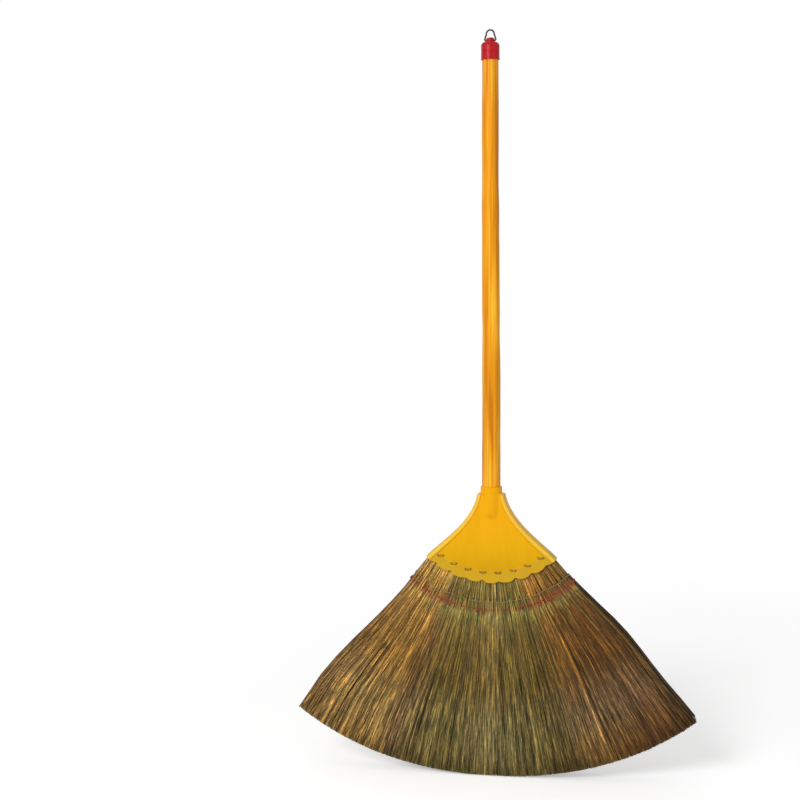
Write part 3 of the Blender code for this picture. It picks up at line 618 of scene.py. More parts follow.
class BROOM_OT_end_cap(Operator):
    """Builds the red end cap with its ring line, its knob and the cross hole for the loop"""
    bl_idname = "broom.end_cap"
    bl_label = "End cap"

    SHOULDER_ROUND = 0.0048
    KNOB_ROUND = 0.0020
    KNOB_FILLET = 0.0012
    KNOB_HEIGHT = 0.0047
    BEAD = 0.0004
    BEAD_HEIGHT = 0.0014
    RING_WIDTH = 0.0009
    RING_DEPTH = 0.0003
    RING_SLOPE = 0.35
    FIT = 0.0003
    DEPTH = 0.0168
    OVERRUN = 0.002
    HOLE_SIDES = 24

    def execute(self, context):
        cap = context.scene.broom_cap
        bore = context.scene.broom_pole.radius_at_cap + self.FIT
        outer = bore + cap.wall
        shoulder = KNOB_TOP_HEIGHT - self.KNOB_HEIGHT
        ring = CAP_MOUTH_HEIGHT + cap.ring_height
        bead_top = CAP_MOUTH_HEIGHT + self.BEAD_HEIGHT
        crown = (cap.knob_radius - self.KNOB_ROUND, KNOB_TOP_HEIGHT - self.KNOB_ROUND)
        fillet = (cap.knob_radius + self.KNOB_FILLET, shoulder + self.KNOB_FILLET)
        corner = (outer - self.SHOULDER_ROUND, shoulder - self.SHOULDER_ROUND)
        piece = lathe("cap_moulding", [
            (SLIM, KNOB_TOP_HEIGHT),
            *arc(crown, self.KNOB_ROUND, QUARTER, 0),
            *arc(fillet, self.KNOB_FILLET, 2 * QUARTER, 3 * QUARTER),
            *arc(corner, self.SHOULDER_ROUND, QUARTER, 0),
            (outer, ring + self.RING_WIDTH),
            (outer - self.RING_DEPTH, ring + self.RING_WIDTH * (1 - self.RING_SLOPE)),
            (outer - self.RING_DEPTH, ring + self.RING_WIDTH * self.RING_SLOPE),
            (outer, ring),
            (outer, bead_top),
            *arc((outer, bead_top - self.BEAD), self.BEAD, QUARTER, 0, 4),
            (outer + self.BEAD, CAP_MOUTH_HEIGHT + self.BEAD / 2),
            (outer + self.BEAD / 2, CAP_MOUTH_HEIGHT),
            (bore, CAP_MOUTH_HEIGHT),
            (bore, CAP_MOUTH_HEIGHT + self.DEPTH),
            (SLIM, CAP_MOUTH_HEIGHT + self.DEPTH),
        ])
        cut(piece, [rods("cross_hole", [PIVOT], cap.wire_radius + self.FIT, cap.knob_radius + self.OVERRUN,
                         ACROSS, self.HOLE_SIDES)])
        sharpen(piece, 42)
        dress(piece, moulded_polyethylene(cap), "red_plastic", "end_cap")
        return {"FINISHED"}


class BROOM_OT_hang_loop(Operator):
    """Bends the wire loop, with its two ends in the knob's cross hole"""
    bl_idname = "broom.hang_loop"
    bl_label = "Hanging loop"

    LEG_X = 0.0064
    TOP_RADIUS = 0.0045
    BEND_RADIUS = 0.0014
    PIN_LENGTH = 0.0030
    SIDES = 16
    LEG_STEPS = 6
    TOP_STEPS = 12

    def execute(self, context):
        cap = context.scene.broom_cap
        top_centre = LOOP_TOP_HEIGHT - PIVOT.z - cap.wire_radius - self.TOP_RADIUS
        half = [(cap.knob_radius - self.PIN_LENGTH, 0.0)]
        half += arc((self.LEG_X - self.BEND_RADIUS, self.BEND_RADIUS), self.BEND_RADIUS, -QUARTER, 0)
        foot, shoulder = half[-1], (self.TOP_RADIUS, top_centre)
        for i in range(1, self.LEG_STEPS):
            half.append(tuple(a + (b - a) * i / self.LEG_STEPS for a, b in zip(foot, shoulder)))
        half += arc((0, top_centre), self.TOP_RADIUS, 0, QUARTER, self.TOP_STEPS)
        path = [(x + PIVOT.x, PIVOT.y, z + PIVOT.z) for x, z in half + mirrored(half[:-1])]
        piece = wire("loop_wire", path, cap.wire_radius, self.SIDES, DEPTHWISE)
        dress(piece, annealed_wire(cap), "loop_wire", "hang_loop", body="hang_loop")
        return {"FINISHED"}


# Head

HEAD_HALF_ANGLE = math.radians(42.5)
HEAD_SHOULDER = (0.0165, 0.0100)
HEAD_SIDE_WALL = 0.0024
FLARE_START = (0.0060, 0.0330)
FLARE_END = (0.0160, 0.0165)


def flare(share, lip_radius, inset=0.0):
    """(half width, depth) on the side of the head, from the shoulder to the tip of the lip."""
    end = (lip_radius * math.sin(HEAD_HALF_ANGLE), lip_radius * math.cos(HEAD_HALF_ANGLE))
    rest = 1 - share
    weights = (rest**3, 3 * share * rest**2, 3 * share**2 * rest, share**3)
    width, depth = (
        sum(w * handle for w, handle in zip(weights, (start, start + out, tip - back, tip)))
        for start, out, tip, back in zip(HEAD_SHOULDER, FLARE_START, end, FLARE_END))
    return width - inset, depth


class BROOM_OT_head(Operator):
    """Lofts the moulded head in one skin: bore, collar, shoulders, plate with rims, lip and hollow"""
    bl_idname = "broom.head"
    bl_label = "Head"

    SHOULDER_ROUND = 0.0014
    # From the collar's circle to the shoulder's outline: share of the way, and drop in shoulder rounds
    SHOULDER_CURVE = ((0.12, 0.45), (0.45, 0.78), (0.8, 1.0), (0.95, 1.35))
    HALF_THICKNESS = 0.0094
    SIDE_ROUND = 0.0042
    RIM_FALL = 0.0011
    RIM_GROOVE = 0.0005
    RIM_GROOVE_WIDTH = 0.0007
    GROOVE_GROWTH = 8
    BAND_HEIGHT = 0.0005
    BAND_FALL = 0.0030
    BAND_FADE = 0.0045
    BAND_ROWS = (-1 / 3, 0, 1 / 3, 2 / 3, 1, 4 / 3)
    BOSS_RADIUS = 0.0130
    BOSS_LENGTH = 0.029
    BOSS_END = 0.0125
    BOSS_FILLET = 0.0005
    # Takes back what the fillet adds to the boss
    PLATE_DROP = BOSS_FILLET / 12
    BORE_RADIUS = 0.0114
    BORE_DEPTH = 0.030
    MOUTH_ROUND = 0.0006
    LIP_ROUND = 0.0006
    HOLLOW_RADIUS = 0.066
    NOTCH_WIDTH = math.radians(1.9)
    NOTCH_SHARES = (0.8, 1.0, 0.75, 1.1, 0.7, 1.15, 0.9, 0.8)
    NOTCH_FADE = 22
    HOLE_RADIUS = 0.0009
    NAIL_HOLE_RADIUS = 0.0012
    ROWS = 52
    HOLLOW_ROWS = 10
    SIDE_STEPS = 6
    # Over the rim, down its fall, through the groove beside it, and on to the middle of the plate
    FACE_STEPS = (2, 4, 5, 46)
    ROUND_STEPS = 4
    LIP_STEPS = 3
    HALVINGS = 40
    SIDE_SAMPLES = 200
    OVERRUN = 0.002
    SEAT_RADIUS = 0.0014
    SEAT_DEPTH = 0.0011
    SEAT_DROP = 0.0007

    def share_at(self, radius):
        """Share down the side whose point lies at a radius."""
        low, high = 0.0, 1.0
        for _ in range(self.HALVINGS):
            middle = (low + high) / 2
            low, high = (middle, high) if math.hypot(*flare(middle, self.lip)) < radius else (low, middle)
        return high

    def ring(self, half_width, top, rise):
        """A ring from the middle of the right side round the front, the left and the back. Each quarter
        goes over a rounded corner to the middle of the face, which rise(x) lifts."""
        corner = (half_width - self.SIDE_ROUND, top - self.SIDE_ROUND)
        rim_end = half_width - self.head.rim_width
        fall_end = rim_end - self.RIM_FALL
        knots = (corner[0], rim_end, fall_end, fall_end - 2 * self.RIM_GROOVE_WIDTH, 0.0)
        xs = [a + (b - a) * (i + 1) / steps for a, b, steps in zip(knots, knots[1:], self.FACE_STEPS)
              for i in range(steps)]
        quarter = [(half_width, 0.0), *arc(corner, self.SIDE_ROUND, 0, QUARTER, self.SIDE_STEPS)]
        quarter += [(x, top + rise(x)) for x in xs]
        front = [(x, -y) for x, y in quarter]
        front += mirrored(front[:-1])
        return front + [(x, -y) for x, y in reversed(front[1:-1])]

    def notch(self, angle):
        """How far the lip is drawn in at an angle, between two scallops."""
        return self.head.notch_depth * sum(
            share * math.exp(-((angle - place) / self.NOTCH_WIDTH) ** 2)
            for place, share in zip(self.stitch_angles, self.NOTCH_SHARES))

    def row(self, share, inset=0.0, top=None, sink=0.0, radius_offset=0.0, hollow=False):
        """One ring across the plate. Hollow rings have no rim, boss or band."""
        head = self.head
        half_width, side_depth = flare(share, self.lip, inset)
        sagitta = math.sin(share * QUARTER) * (math.hypot(half_width, side_depth) - side_depth)
        curve = (half_width**2 + sagitta**2) / (2 * sagitta) if sagitta > SLIM else 0.0

        def depth_at(x):
            return side_depth + (math.sqrt(curve**2 - x**2) - (curve - sagitta) if curve else 0.0)

        def rise(x):
            depth = depth_at(x)
            inside_rim = half_width - head.rim_width - abs(x)
            rim = head.rim_height * (1 - min(1.0, max(0.0, inside_rim / self.RIM_FALL)))
            foot = (inside_rim - self.RIM_FALL) / self.RIM_GROOVE_WIDTH * 2 - 1
            groove = self.RIM_GROOVE * math.exp(-foot**2) * min(1.0, share * self.GROOVE_GROWTH)
            past = max(0.0, depth - self.BOSS_LENGTH) / self.BOSS_END
            boss_radius = self.BOSS_RADIUS * math.sqrt(max(0.0, 1 - past**2))
            boss = math.sqrt(max(0.0, boss_radius**2 - x**2)) - self.HALF_THICKNESS
            boss = (boss + math.hypot(boss, self.BOSS_FILLET)) / 2
            band = (math.hypot(x, depth) - head.band_radius) / self.BAND_FALL
            band = self.BAND_HEIGHT * min(1.0, max(0.0, band))
            return max(rim, band) + boss - groove - head.rim_height - self.PLATE_DROP

        top = self.HALF_THICKNESS + head.rim_height if top is None else top
        near_lip = max(0.0, 1 - (1 - share) * self.NOTCH_FADE)
        ring = []
        for x, y in self.ring(half_width, top - sink, (lambda x: 0.0) if hollow else rise):
            depth = depth_at(x)
            angle = math.atan2(x, depth)
            pulled = math.hypot(x, depth) + radius_offset - near_lip * self.notch(angle)
            ring.append((pulled * math.sin(angle), y, FAN_CENTRE_HEIGHT - pulled * math.cos(angle)))
        return ring

    def collar(self):
        """From the bottom of the bore up to the socket's mouth, and down the outside to the shoulder. Every
        ring's points lie in the same directions as the shoulder's."""
        shoulder = self.row(0.0)
        directions = [math.atan2(y / (self.HALF_THICKNESS + self.head.rim_height), x / HEAD_SHOULDER[0])
                      for x, y, _ in shoulder]
        fall = HEAD_SHOULDER[1] - 2 * self.SHOULDER_ROUND
        mouth = arc((self.BOSS_RADIUS - self.MOUTH_ROUND, self.MOUTH_ROUND), self.MOUTH_ROUND, -QUARTER, 0,
                    self.ROUND_STEPS)
        circles = [(self.BORE_RADIUS, self.BORE_DEPTH), (self.BORE_RADIUS, 0.0), *mouth,
                   (self.BOSS_RADIUS, fall / 2), (self.BOSS_RADIUS, fall)]
        rings = [[(radius * math.cos(a), radius * math.sin(a), FAN_CENTRE_HEIGHT - depth) for a in directions]
                 for radius, depth in circles]
        last = rings[-1]
        for share, drop in self.SHOULDER_CURVE:
            height = FAN_CENTRE_HEIGHT - fall - drop * self.SHOULDER_ROUND
            rings.append([(a[0] + (b[0] - a[0]) * share, a[1] + (b[1] - a[1]) * share, height)
                          for a, b in zip(last, shoulder)])
        return rings

    def mark_zones(self, piece):
        """Marks the rims, which get a painted highlight, by their distance from the side, and the lip."""
        points = np.array([tuple(vertex.co) for vertex in piece.data.vertices])
        place = np.stack([np.abs(points[:, 0]), FAN_CENTRE_HEIGHT - points[:, 2]], axis=1)
        side = np.array([flare(share, self.lip) for share in np.linspace(0, 1, self.SIDE_SAMPLES)])
        distance = np.linalg.norm(place[:, None] - side, axis=2).min(axis=1)
        rim = np.clip((self.head.rim_width + self.RIM_FALL / 2 - distance) / self.RIM_FALL, 0, 1)
        raised = (np.abs(points[:, 1]) - self.HALF_THICKNESS + self.SIDE_ROUND / 2) / self.SIDE_ROUND * 2
        mark(piece, "rim", rim * np.clip(raised, 0, 1))
        mark(piece, "lip", np.clip((np.hypot(*place.T) - self.head.band_radius) / self.BAND_FADE, 0, 1))

    def cutters(self, centres, width):
        """Holes for the stitches' legs, seats for their crowns, and the nail's hole."""
        half = width / 2
        seat = self.HALF_THICKNESS + self.BAND_HEIGHT + self.SEAT_RADIUS - self.SEAT_DEPTH
        holes = [centre + Vector((side * half, 0, 0)) for centre in centres for side in (-1, 1)]
        seats = [centre + Vector((0, side * seat, -self.SEAT_DROP)) for centre in centres for side in (-1, 1)]
        nail = sum(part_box("socket_nail"), Vector()) / 2
        reach = self.HALF_THICKNESS + self.head.rim_height + self.OVERRUN
        return [rods("stitch_holes", holes, self.HOLE_RADIUS, reach, DEPTHWISE),
                rods("stitch_seats", seats, self.SEAT_RADIUS, half, ACROSS),
                rods("nail_hole", [nail], self.NAIL_HOLE_RADIUS, reach / 2, DEPTHWISE)]

    def execute(self, context):
        self.head = context.scene.broom_head
        self.lip = self.head.lip_radius
        centres = [sum(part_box(name), Vector()) / 2 for name in STITCH_NODES]
        self.stitch_angles = [math.atan2(c.x, FAN_CENTRE_HEIGHT - c.z) for c in centres]
        shares = [i / self.ROWS for i in range(self.ROWS)]
        shares += [self.share_at(self.head.band_radius + self.BAND_FALL * k) for k in self.BAND_ROWS]
        rings = self.collar() + [self.row(share) for share in sorted(shares)]
        for level, reach in arc((0.0, 0.0), self.LIP_ROUND, 0, QUARTER, self.LIP_STEPS):
            rings.append(self.row(1.0, sink=self.LIP_ROUND - level, radius_offset=reach - self.LIP_ROUND))
        hollow_start = self.share_at(self.HOLLOW_RADIUS)
        inner_top = self.HALF_THICKNESS - self.head.wall
        for i in range(self.HOLLOW_ROWS + 1):
            share = 1.0 - (1.0 - hollow_start) * i / self.HOLLOW_ROWS
            rings.append(self.row(share, HEAD_SIDE_WALL, inner_top, hollow=True))
        piece = loft("head_moulding", rings)
        cut(piece, self.cutters(centres, context.scene.broom_fasteners.stitch_width))
        self.mark_zones(piece)
        sharpen(piece, 48)
        dress(piece, moulded_polypropylene(self.head), "yellow_plastic", "head_shell")
        return {"FINISHED"}


# Stitches and nail

class BROOM_OT_fasteners(Operator):
    """Bends the eight wire stitches through the lip, and makes the nail at the back of the socket"""
    bl_idname = "broom.fasteners"
    bl_label = "Stitches and nail"

    BEND_RADIUS = 0.0010
    BEND_STEPS = 6
    TAIL_GAP = 0.0012
    CROWN_SAG = 0.0002
    SIDES = 12
    NAIL_RADIUS = 0.0009
    NAIL_POINT = 0.002
    NAIL_HEAD_RADIUS = 0.0021
    NAIL_HEAD_HEIGHT = 0.0008
    NAIL_HEAD_SHARES = ((0.6, 0.95), (0.9, 0.6), (1.0, 0.2), (0.97, 0.0))
    NAIL_STEPS = 24

    def stitch(self, name, node, fasteners):
        """A wire from the middle of the back, through one hole, over the front and back through the other."""
        low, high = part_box(node)
        centre = (low + high) / 2
        front, back = low.y + fasteners.wire_radius, high.y - fasteners.wire_radius
        half, bend = fasteners.stitch_width / 2, self.BEND_RADIUS
        side = [(self.TAIL_GAP / 2, back),
                *arc((half - bend, back - bend), bend, QUARTER, 0, self.BEND_STEPS),
                *arc((half - bend, front + bend), bend, 0, -QUARTER, self.BEND_STEPS),
                (half / 3, front + self.CROWN_SAG)]
        path = [(centre.x + x, y, centre.z) for x, y in side + mirrored(side)]
        return wire(name, path, fasteners.wire_radius, self.SIDES, UPWARD)

    def nail(self, low, high):
        head = self.NAIL_HEAD_HEIGHT
        length = high.y - low.y - head
        piece = lathe("nail", [
            (SLIM, head), *((self.NAIL_HEAD_RADIUS * r, head * h) for r, h in self.NAIL_HEAD_SHARES),
            (self.NAIL_RADIUS, 0.0), (self.NAIL_RADIUS, self.NAIL_POINT - length), (SLIM, -length),
        ], self.NAIL_STEPS)
        place = Matrix.Translation((0, high.y - head, (low.z + high.z) / 2))
        piece.data.transform(place @ Matrix.Rotation(-QUARTER, 4, "X"))
        sharpen(piece, 50)
        return piece

    def execute(self, context):
        fasteners = context.scene.broom_fasteners
        material = galvanised_wire(fasteners)
        for number, node in enumerate(STITCH_NODES, 1):
            dress(self.stitch("staple_%d" % number, node, fasteners), material, "stitch_wire", node)
        dress(self.nail(*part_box("socket_nail")), material, "stitch_wire", "socket_nail")
        return {"FINISHED"}


# Grass

BUNCHES = len(BUNCH_NODES)
GRASS_SLOTS = ("golden_grass", "olive_grass", "brown_grass")
ZONE_HALF_ANGLE = math.radians(41.0)
FAN_END_RADIUS = 0.495
FAN_END_RISE = 0.013
STEM_CLEARANCE = 0.0015
WALL_SHARES = np.linspace(0.3, 1, 30)

# The sides of the fan below the head, as (radius, left angle, right angle) about the fan centre.
# The grass spreads a little more on its right.
FAN_SIDES_DEG = (
    (0.1475, 40.5, 41.3), (0.1700, 40.3, 41.9), (0.2240, 41.0, 43.1), (0.2500, 41.5, 42.7),
    (0.2800, 41.8, 42.1), (0.3100, 41.7, 41.7), (0.3400, 41.0, 41.6), (0.3720, 40.4, 41.4))


def side_angles(radius, lip_radius):
    """Angles of the fan's left and right side at a radius. Inside the head they keep to its walls."""
    walls = np.array([flare(share, lip_radius, HEAD_SIDE_WALL + STEM_CLEARANCE) for share in WALL_SHARES])
    radii, *sides = np.array(FAN_SIDES_DEG).T
    all_radii = np.concatenate([np.hypot(*walls.T), radii])
    at_walls = np.arctan2(*walls.T)
    return [np.interp(radius, all_radii, np.concatenate([at_walls, np.radians(side)])) for side in sides]


def fan_angle(share, radius, lip_radius):
    """Angle at a share across the fan, from its left side (-1) to its right side (1)."""
    left, right = side_angles(radius, lip_radius)
    return share * np.where(share < 0, left, right)


def fan_end(share, lip_radius):
    """Radius of the fan's lower edge: an arc that touches the floor and rises a little to both sides."""
    height = FAN_END_RADIUS - FAN_CENTRE_HEIGHT
    along = height * np.cos(fan_angle(share, FAN_CENTRE_HEIGHT, lip_radius))
    return np.sqrt(along**2 + FAN_END_RADIUS**2 - height**2) - along - FAN_END_RISE * np.abs(share) ** 3


class BROOM_OT_grass(Operator):
    """Grows every bunch: stems in the head, sheath tips and loose straws at the twine, and fine strands"""
    bl_idname = "broom.grass"
    bl_label = "Grass"

    # Each kind of grass with its number of sides and its flatness, in the order of the random draws. Below,
    # pairs are the ends of a span that values are drawn from, and profiles are places along a strand and its
    # thickness there. Shares across a bunch run from -0.5 to 0.5, and tones from 0 to 1.
    KINDS = (("stems", 6, 1.0), ("sheaths", 4, 0.35), ("straws", 4, 1.0), ("strands", 3, 1.0))
    NECK_HALF_THICKNESS = 0.0074
    NECK_SPREAD = 0.0014
    NECK_SPREAD_LENGTH = 0.012
    GROOVE_DEPTH = 0.0012
    GROOVE_WIDTH = 0.0026
    OVER_TWINE = 0.0083
    SIDE_SHARE = 0.97
    ZONE_SPREAD = 0.016
    STEPS = np.linspace(0, 1, 10)
    LONG_STEPS = np.linspace(0, 1, 14)

    STEM_START = 0.078
    STEM_REACH = (0.012, 0.034)
    STEM_ROW_SHARE = 0.9
    STEM_JITTER = (-0.05, 0.05)
    STEM_DRIFT = (-0.06, 0.06)
    STEM_RADIUS = 0.00082
    STEM_SIZES = (0.6, 1.15)
    INNER_STEM_SIZE = 1.25
    STEM_INSETS = (0.0, 0.14)
    STEM_PROFILE = ((0, 0.82, 1), (1, 1, 0.3))
    STEM_GATHER = 0.14
    STEM_PINCH = 0.12
    # Painted light that lifts the stems on the fan's right, which face away from the key lamp
    RIGHT_STEM_PAINTED_LIGHT = 0.18
    PALER_SIDES = 0.22
    DARKEST_STEM = 0.12
    INNER_STEM_SHADE = 0.3
    STEM_TONE_SPREAD = 0.06
    STEM_GREENS = (-0.5, 0.4)

    SHEATH_ACROSS = (-0.45, 0.45)
    SHEATH_START = (0.0, 0.006)
    SHEATH_LENGTH = (0.007, 0.024)
    SHEATH_DRIFT = (-0.14, 0.14)
    SHEATH_THROUGH = 0.98
    SHEATH_LIFT = 0.0006
    SHEATH_CURL = 0.0009
    SHEATH_RADIUS = 0.0009
    SHEATH_SIZES = (0.6, 1.2)
    SHEATH_PROFILE = ((0, 0.35, 1), (0.7, 1, 0.12))
    SHEATH_TONES = (0.45, 1.0)
    SHEATH_GREENS = (0.3, 0.95)
    SHEATH_FADE = 0.5
    GOLDEN_SHARE_OF_FAN = 0.2
    GOLDEN_GREEN = 0.35

    STRAW_FRONT_SHARE = 0.6
    STRAW_START = 0.004
    STRAW_ABOVE_TWINE = 0.002
    STRAW_REACH = (0.010, 0.050)
    STRAW_ACROSS = (-0.46, 0.46)
    STRAW_DRIFT = (-0.12, 0.12)
    STRAW_RADII = (0.0003, 0.0006)
    STRAW_PROFILE = ((0, 0.1, 0.7, 1), (0.5, 1, 1, 0.3))
    STRAW_TONES = (0.4, 1.0)
    STRAW_GREENS = (-0.3, 0.5)

    STRAND_START_ABOVE = 0.010
    SURFACE_SHARE = 0.6
    GOLDEN_RATIO = 0.618
    SURFACE_DEPTH = 0.88
    TIP_SPREAD = 0.57
    CROSSING_SHARE = 0.18
    CROSSING = (-0.7, 0.7)
    ROOT_SPREAD = 0.55
    ROOT_GATHER = 0.84
    ROOT_JITTER = (-0.13, 0.13)
    CLUMPS = 7
    CLUMP_JITTER = (-0.06, 0.06)
    CLUMP_PULLS = (0.1, 0.6)
    CLUMP_TONES = (0.38, 0.66)
    GATHER_POWER = 0.9
    HIDDEN_SHADE_TONE = 0.25
    LOCKS = 2
    LOCK_GAP = 0.07
    LOCK_SHADE = 0.36
    LOCK_TONES = (-0.08, 0.12)
    END_BULGE = 0.004
    END_CUT_SHAPE = 1.5
    END_CUT = 0.0005
    LONGEST_CUT = 0.004
    FLOOR_CLEARANCE = 0.0004
    SWAY = 0.0014
    SWAY_TURNS = (3, 8)
    SWAY_END = 1.2
    UNRULY_SHARE = 0.05
    UNRULY_SWAY = 3
    STRAY = 0.0007
    STRAND_SIZES = (0.55, 1.4)
    STRAND_PROFILE = ((0, 0.15, 0.85, 1), (0.8, 1, 1, 0.85))
    TONE_SPREAD_BETWEEN = 0.19
    TONE_SPREAD_ALONG = 0.05
    MEAN_GREEN = 0.05
    GREEN_SPREAD = 0.2
    GREENEST_STRAND = 0.7
    GREEN_POWER = 1.5

    def pinch(self, radius):
        """How hard either row of twine presses on the grass at a radius."""
        rows = (self.twine.pale_radius, self.twine.red_radius)
        return sum(np.exp(-((radius - row) / self.GROOVE_WIDTH) ** 2) for row in rows)

    def thickness(self, radius):
        """Half the fan's thickness at a radius: drawn in under the twine, then spreading to the floor."""
        red, neck = self.twine.red_radius, self.NECK_HALF_THICKNESS
        spread = np.interp(radius, (red, red + self.NECK_SPREAD_LENGTH, FAN_CENTRE_HEIGHT),
                           (neck, neck + self.NECK_SPREAD, self.grass.end_half_thickness))
        return spread - self.GROOVE_DEPTH * self.pinch(radius)

    def fan_share(self, across):
        """Share across the fan of a share across the bunch."""
        return np.clip((self.number + 0.5 + across) * 2 / BUNCHES - 1, -1, 1)

    def at_side(self, across):
        """Whether a share across the bunch lies on the fan's side, where its inner grass shows."""
        return np.abs(self.fan_share(across)) > self.SIDE_SHARE

    def place(self, across, through, radius):
        """A point at a share across the bunch and a share through the fan."""
        return fan_point(radius, fan_angle(self.fan_share(across), radius, self.lip),
                         through * self.thickness(radius))

    def pick(self, span, count):
        """A column of random values from a span, one for each strand."""
        return self.chance.uniform(*span, (count, 1))

    def stems(self):
        """Stems side by side on the front and the back, and a few between them."""
        row, steps = self.grass.stems, self.LONG_STEPS
        columns = self.STEM_ROW_SHARE * ((np.arange(row) + 0.5) / row - 0.5)
        across = np.concatenate([columns, columns, np.linspace(-0.5, 0.5, 2 * row)])[:, None]
        between = self.pick((-0.5, 0.5), 2 * row)
        through = np.concatenate([np.repeat((-1.0, 1.0), row)[:, None], between])
        outer = np.abs(through) == 1
        count = len(across)
        across = across + self.pick(self.STEM_JITTER, count) * outer
        shown = outer | self.at_side(across)
        reach = self.twine.red_radius + self.pick(self.STEM_REACH, count) - self.STEM_START
        radius = self.STEM_START + reach * steps
        pinch = self.pinch(radius)
        across = across + self.pick(self.STEM_DRIFT, count) * (steps - 0.5)
        across = across * (1 - self.STEM_GATHER * pinch * outer)
        thick = self.STEM_RADIUS * np.where(outer, self.pick(self.STEM_SIZES, count), self.INNER_STEM_SIZE)
        inset = 1 - thick / self.NECK_HALF_THICKNESS - self.pick(self.STEM_INSETS, count)
        radii = thick * np.interp(steps, *self.STEM_PROFILE) * (1 - self.STEM_PINCH * pinch)
        side = self.fan_share(0.0)
        tones = (self.DARKEST_STEM + self.PALER_SIDES * abs(side), 1.0)
        # Stems on the fan's right are lifted with painted light.
        tone = self.RIGHT_STEM_PAINTED_LIGHT * max(0.0, side) + self.pick(tones, count)
        # Stems between the faces get painted shade, except at the fan's sides, where they show.
        tone = tone * np.where(shown, 1, self.INNER_STEM_SHADE)
        tone = tone + self.chance.normal(0, self.STEM_TONE_SPREAD, radius.shape)
        green = np.clip(self.pick(self.STEM_GREENS, count), 0, 1)
        return self.place(across, through * inset, radius), radii, tone, green

    def sheaths(self):
        """Torn sheath tips, flat and greenish, that stand off the surface just below the red row."""
        count, steps = self.grass.sheaths, self.STEPS
        pick = partial(self.pick, count=count)
        side = np.where(np.arange(count) % 2 == 0, -1.0, 1.0)[:, None]
        across = pick(self.SHEATH_ACROSS)
        radius = self.twine.red_radius + pick(self.SHEATH_START) + pick(self.SHEATH_LENGTH) * steps
        across = across + pick(self.SHEATH_DRIFT) * steps
        paths = self.place(across, side * self.SHEATH_THROUGH, radius)
        paths[..., 1] += side * (self.SHEATH_LIFT * steps + self.SHEATH_CURL * steps**3)
        radii = self.SHEATH_RADIUS * pick(self.SHEATH_SIZES) * np.interp(steps, *self.SHEATH_PROFILE)
        tone = pick(self.SHEATH_TONES)
        golden = self.GOLDEN_GREEN if self.number < BUNCHES * self.GOLDEN_SHARE_OF_FAN else 1.0
        return paths, radii, tone, golden * pick(self.SHEATH_GREENS) * (1 - self.SHEATH_FADE * steps)

    def straws(self):
        """Thin loose straws that lie over both rows of twine."""
        count, steps, red = self.grass.straws, self.LONG_STEPS, self.twine.red_radius
        pick = partial(self.pick, count=count)
        side = np.where(self.chance.random((count, 1)) < self.STRAW_FRONT_SHARE, -1.0, 1.0)
        start = pick((self.lip + self.STRAW_START, red - self.STRAW_ABOVE_TWINE))
        radius = start + (red + pick(self.STRAW_REACH) - start) * steps
        paths = self.place(pick(self.STRAW_ACROSS) + pick(self.STRAW_DRIFT) * steps, 1.0, radius)
        paths[..., 1] = side * np.maximum(self.thickness(radius), self.OVER_TWINE)
        radii = pick(self.STRAW_RADII) * np.interp(steps, *self.STRAW_PROFILE)
        return paths, radii, pick(self.STRAW_TONES), np.clip(pick(self.STRAW_GREENS), 0, 1)

    def strands(self):
        """Fine strands that leave the pinched neck, gather in loose clumps and end along the arc. Painted
        shade darkens the strands in the gaps between the bunch's locks."""
        count, steps, chance = self.grass.strands, self.STEPS, self.chance
        pick = partial(self.pick, count=count)
        order = np.arange(count)[:, None]
        side = np.where(order % 2 == 0, -1.0, 1.0)
        inner = (order // 2 * self.GOLDEN_RATIO) % 1 > self.SURFACE_SHARE
        through = side * np.where(inner, pick((0, self.SURFACE_DEPTH)), pick((self.SURFACE_DEPTH, 1)))
        tip = self.TIP_SPREAD * (2 * (order + chance.random((count, 1))) / count - 1)
        tip += (chance.random((count, 1)) < self.CROSSING_SHARE) * pick(self.CROSSING)
        root = np.where(inner, 1.0, self.ROOT_GATHER) * np.clip(tip, -self.ROOT_SPREAD, self.ROOT_SPREAD)
        root = root + pick(self.ROOT_JITTER)
        centres = (np.arange(self.CLUMPS) + 0.5) / self.CLUMPS - 0.5
        centres = centres + chance.uniform(*self.CLUMP_JITTER, self.CLUMPS)
        clump = np.abs(tip - centres).argmin(1)[:, None]
        pull = np.where(inner, 0.0, chance.uniform(*self.CLUMP_PULLS, self.CLUMPS)[clump])
        gather = np.sin(math.pi * steps**self.GATHER_POWER)
        across = root + (tip - root) * steps + (centres[clump] - tip) * pull * gather

        cut_short = np.minimum(chance.gamma(self.END_CUT_SHAPE, self.END_CUT, (count, 1)), self.LONGEST_CUT)
        end = fan_end(self.fan_share(across[:, -1:]), self.lip)
        end = end - cut_short + self.END_BULGE * (1 - through**2)
        start = self.twine.red_radius - self.STRAND_START_ABOVE
        paths = self.place(across, through, start + (end - start) * steps)
        wave = chance.uniform(0, TURN, (2, count, 1))
        reach = np.abs(chance.normal(0, self.SWAY, (2, count, 1)))
        reach = reach * np.where(chance.random((count, 1)) < self.UNRULY_SHARE, self.UNRULY_SWAY, 1)
        turns = chance.uniform(*self.SWAY_TURNS, (2, count, 1))
        sway = reach * np.sin(wave + steps * turns) * steps * (self.SWAY_END - steps)
        widest = self.grass.end_half_thickness + self.STRAY
        paths[..., 0] += sway[0]
        paths[..., 1] = np.clip(paths[..., 1] + sway[1], -widest, widest)
        paths[..., 2] = np.maximum(paths[..., 2], self.FLOOR_CLEARANCE)
        radii = self.grass.strand_radius * pick(self.STRAND_SIZES) * np.interp(steps, *self.STRAND_PROFILE)
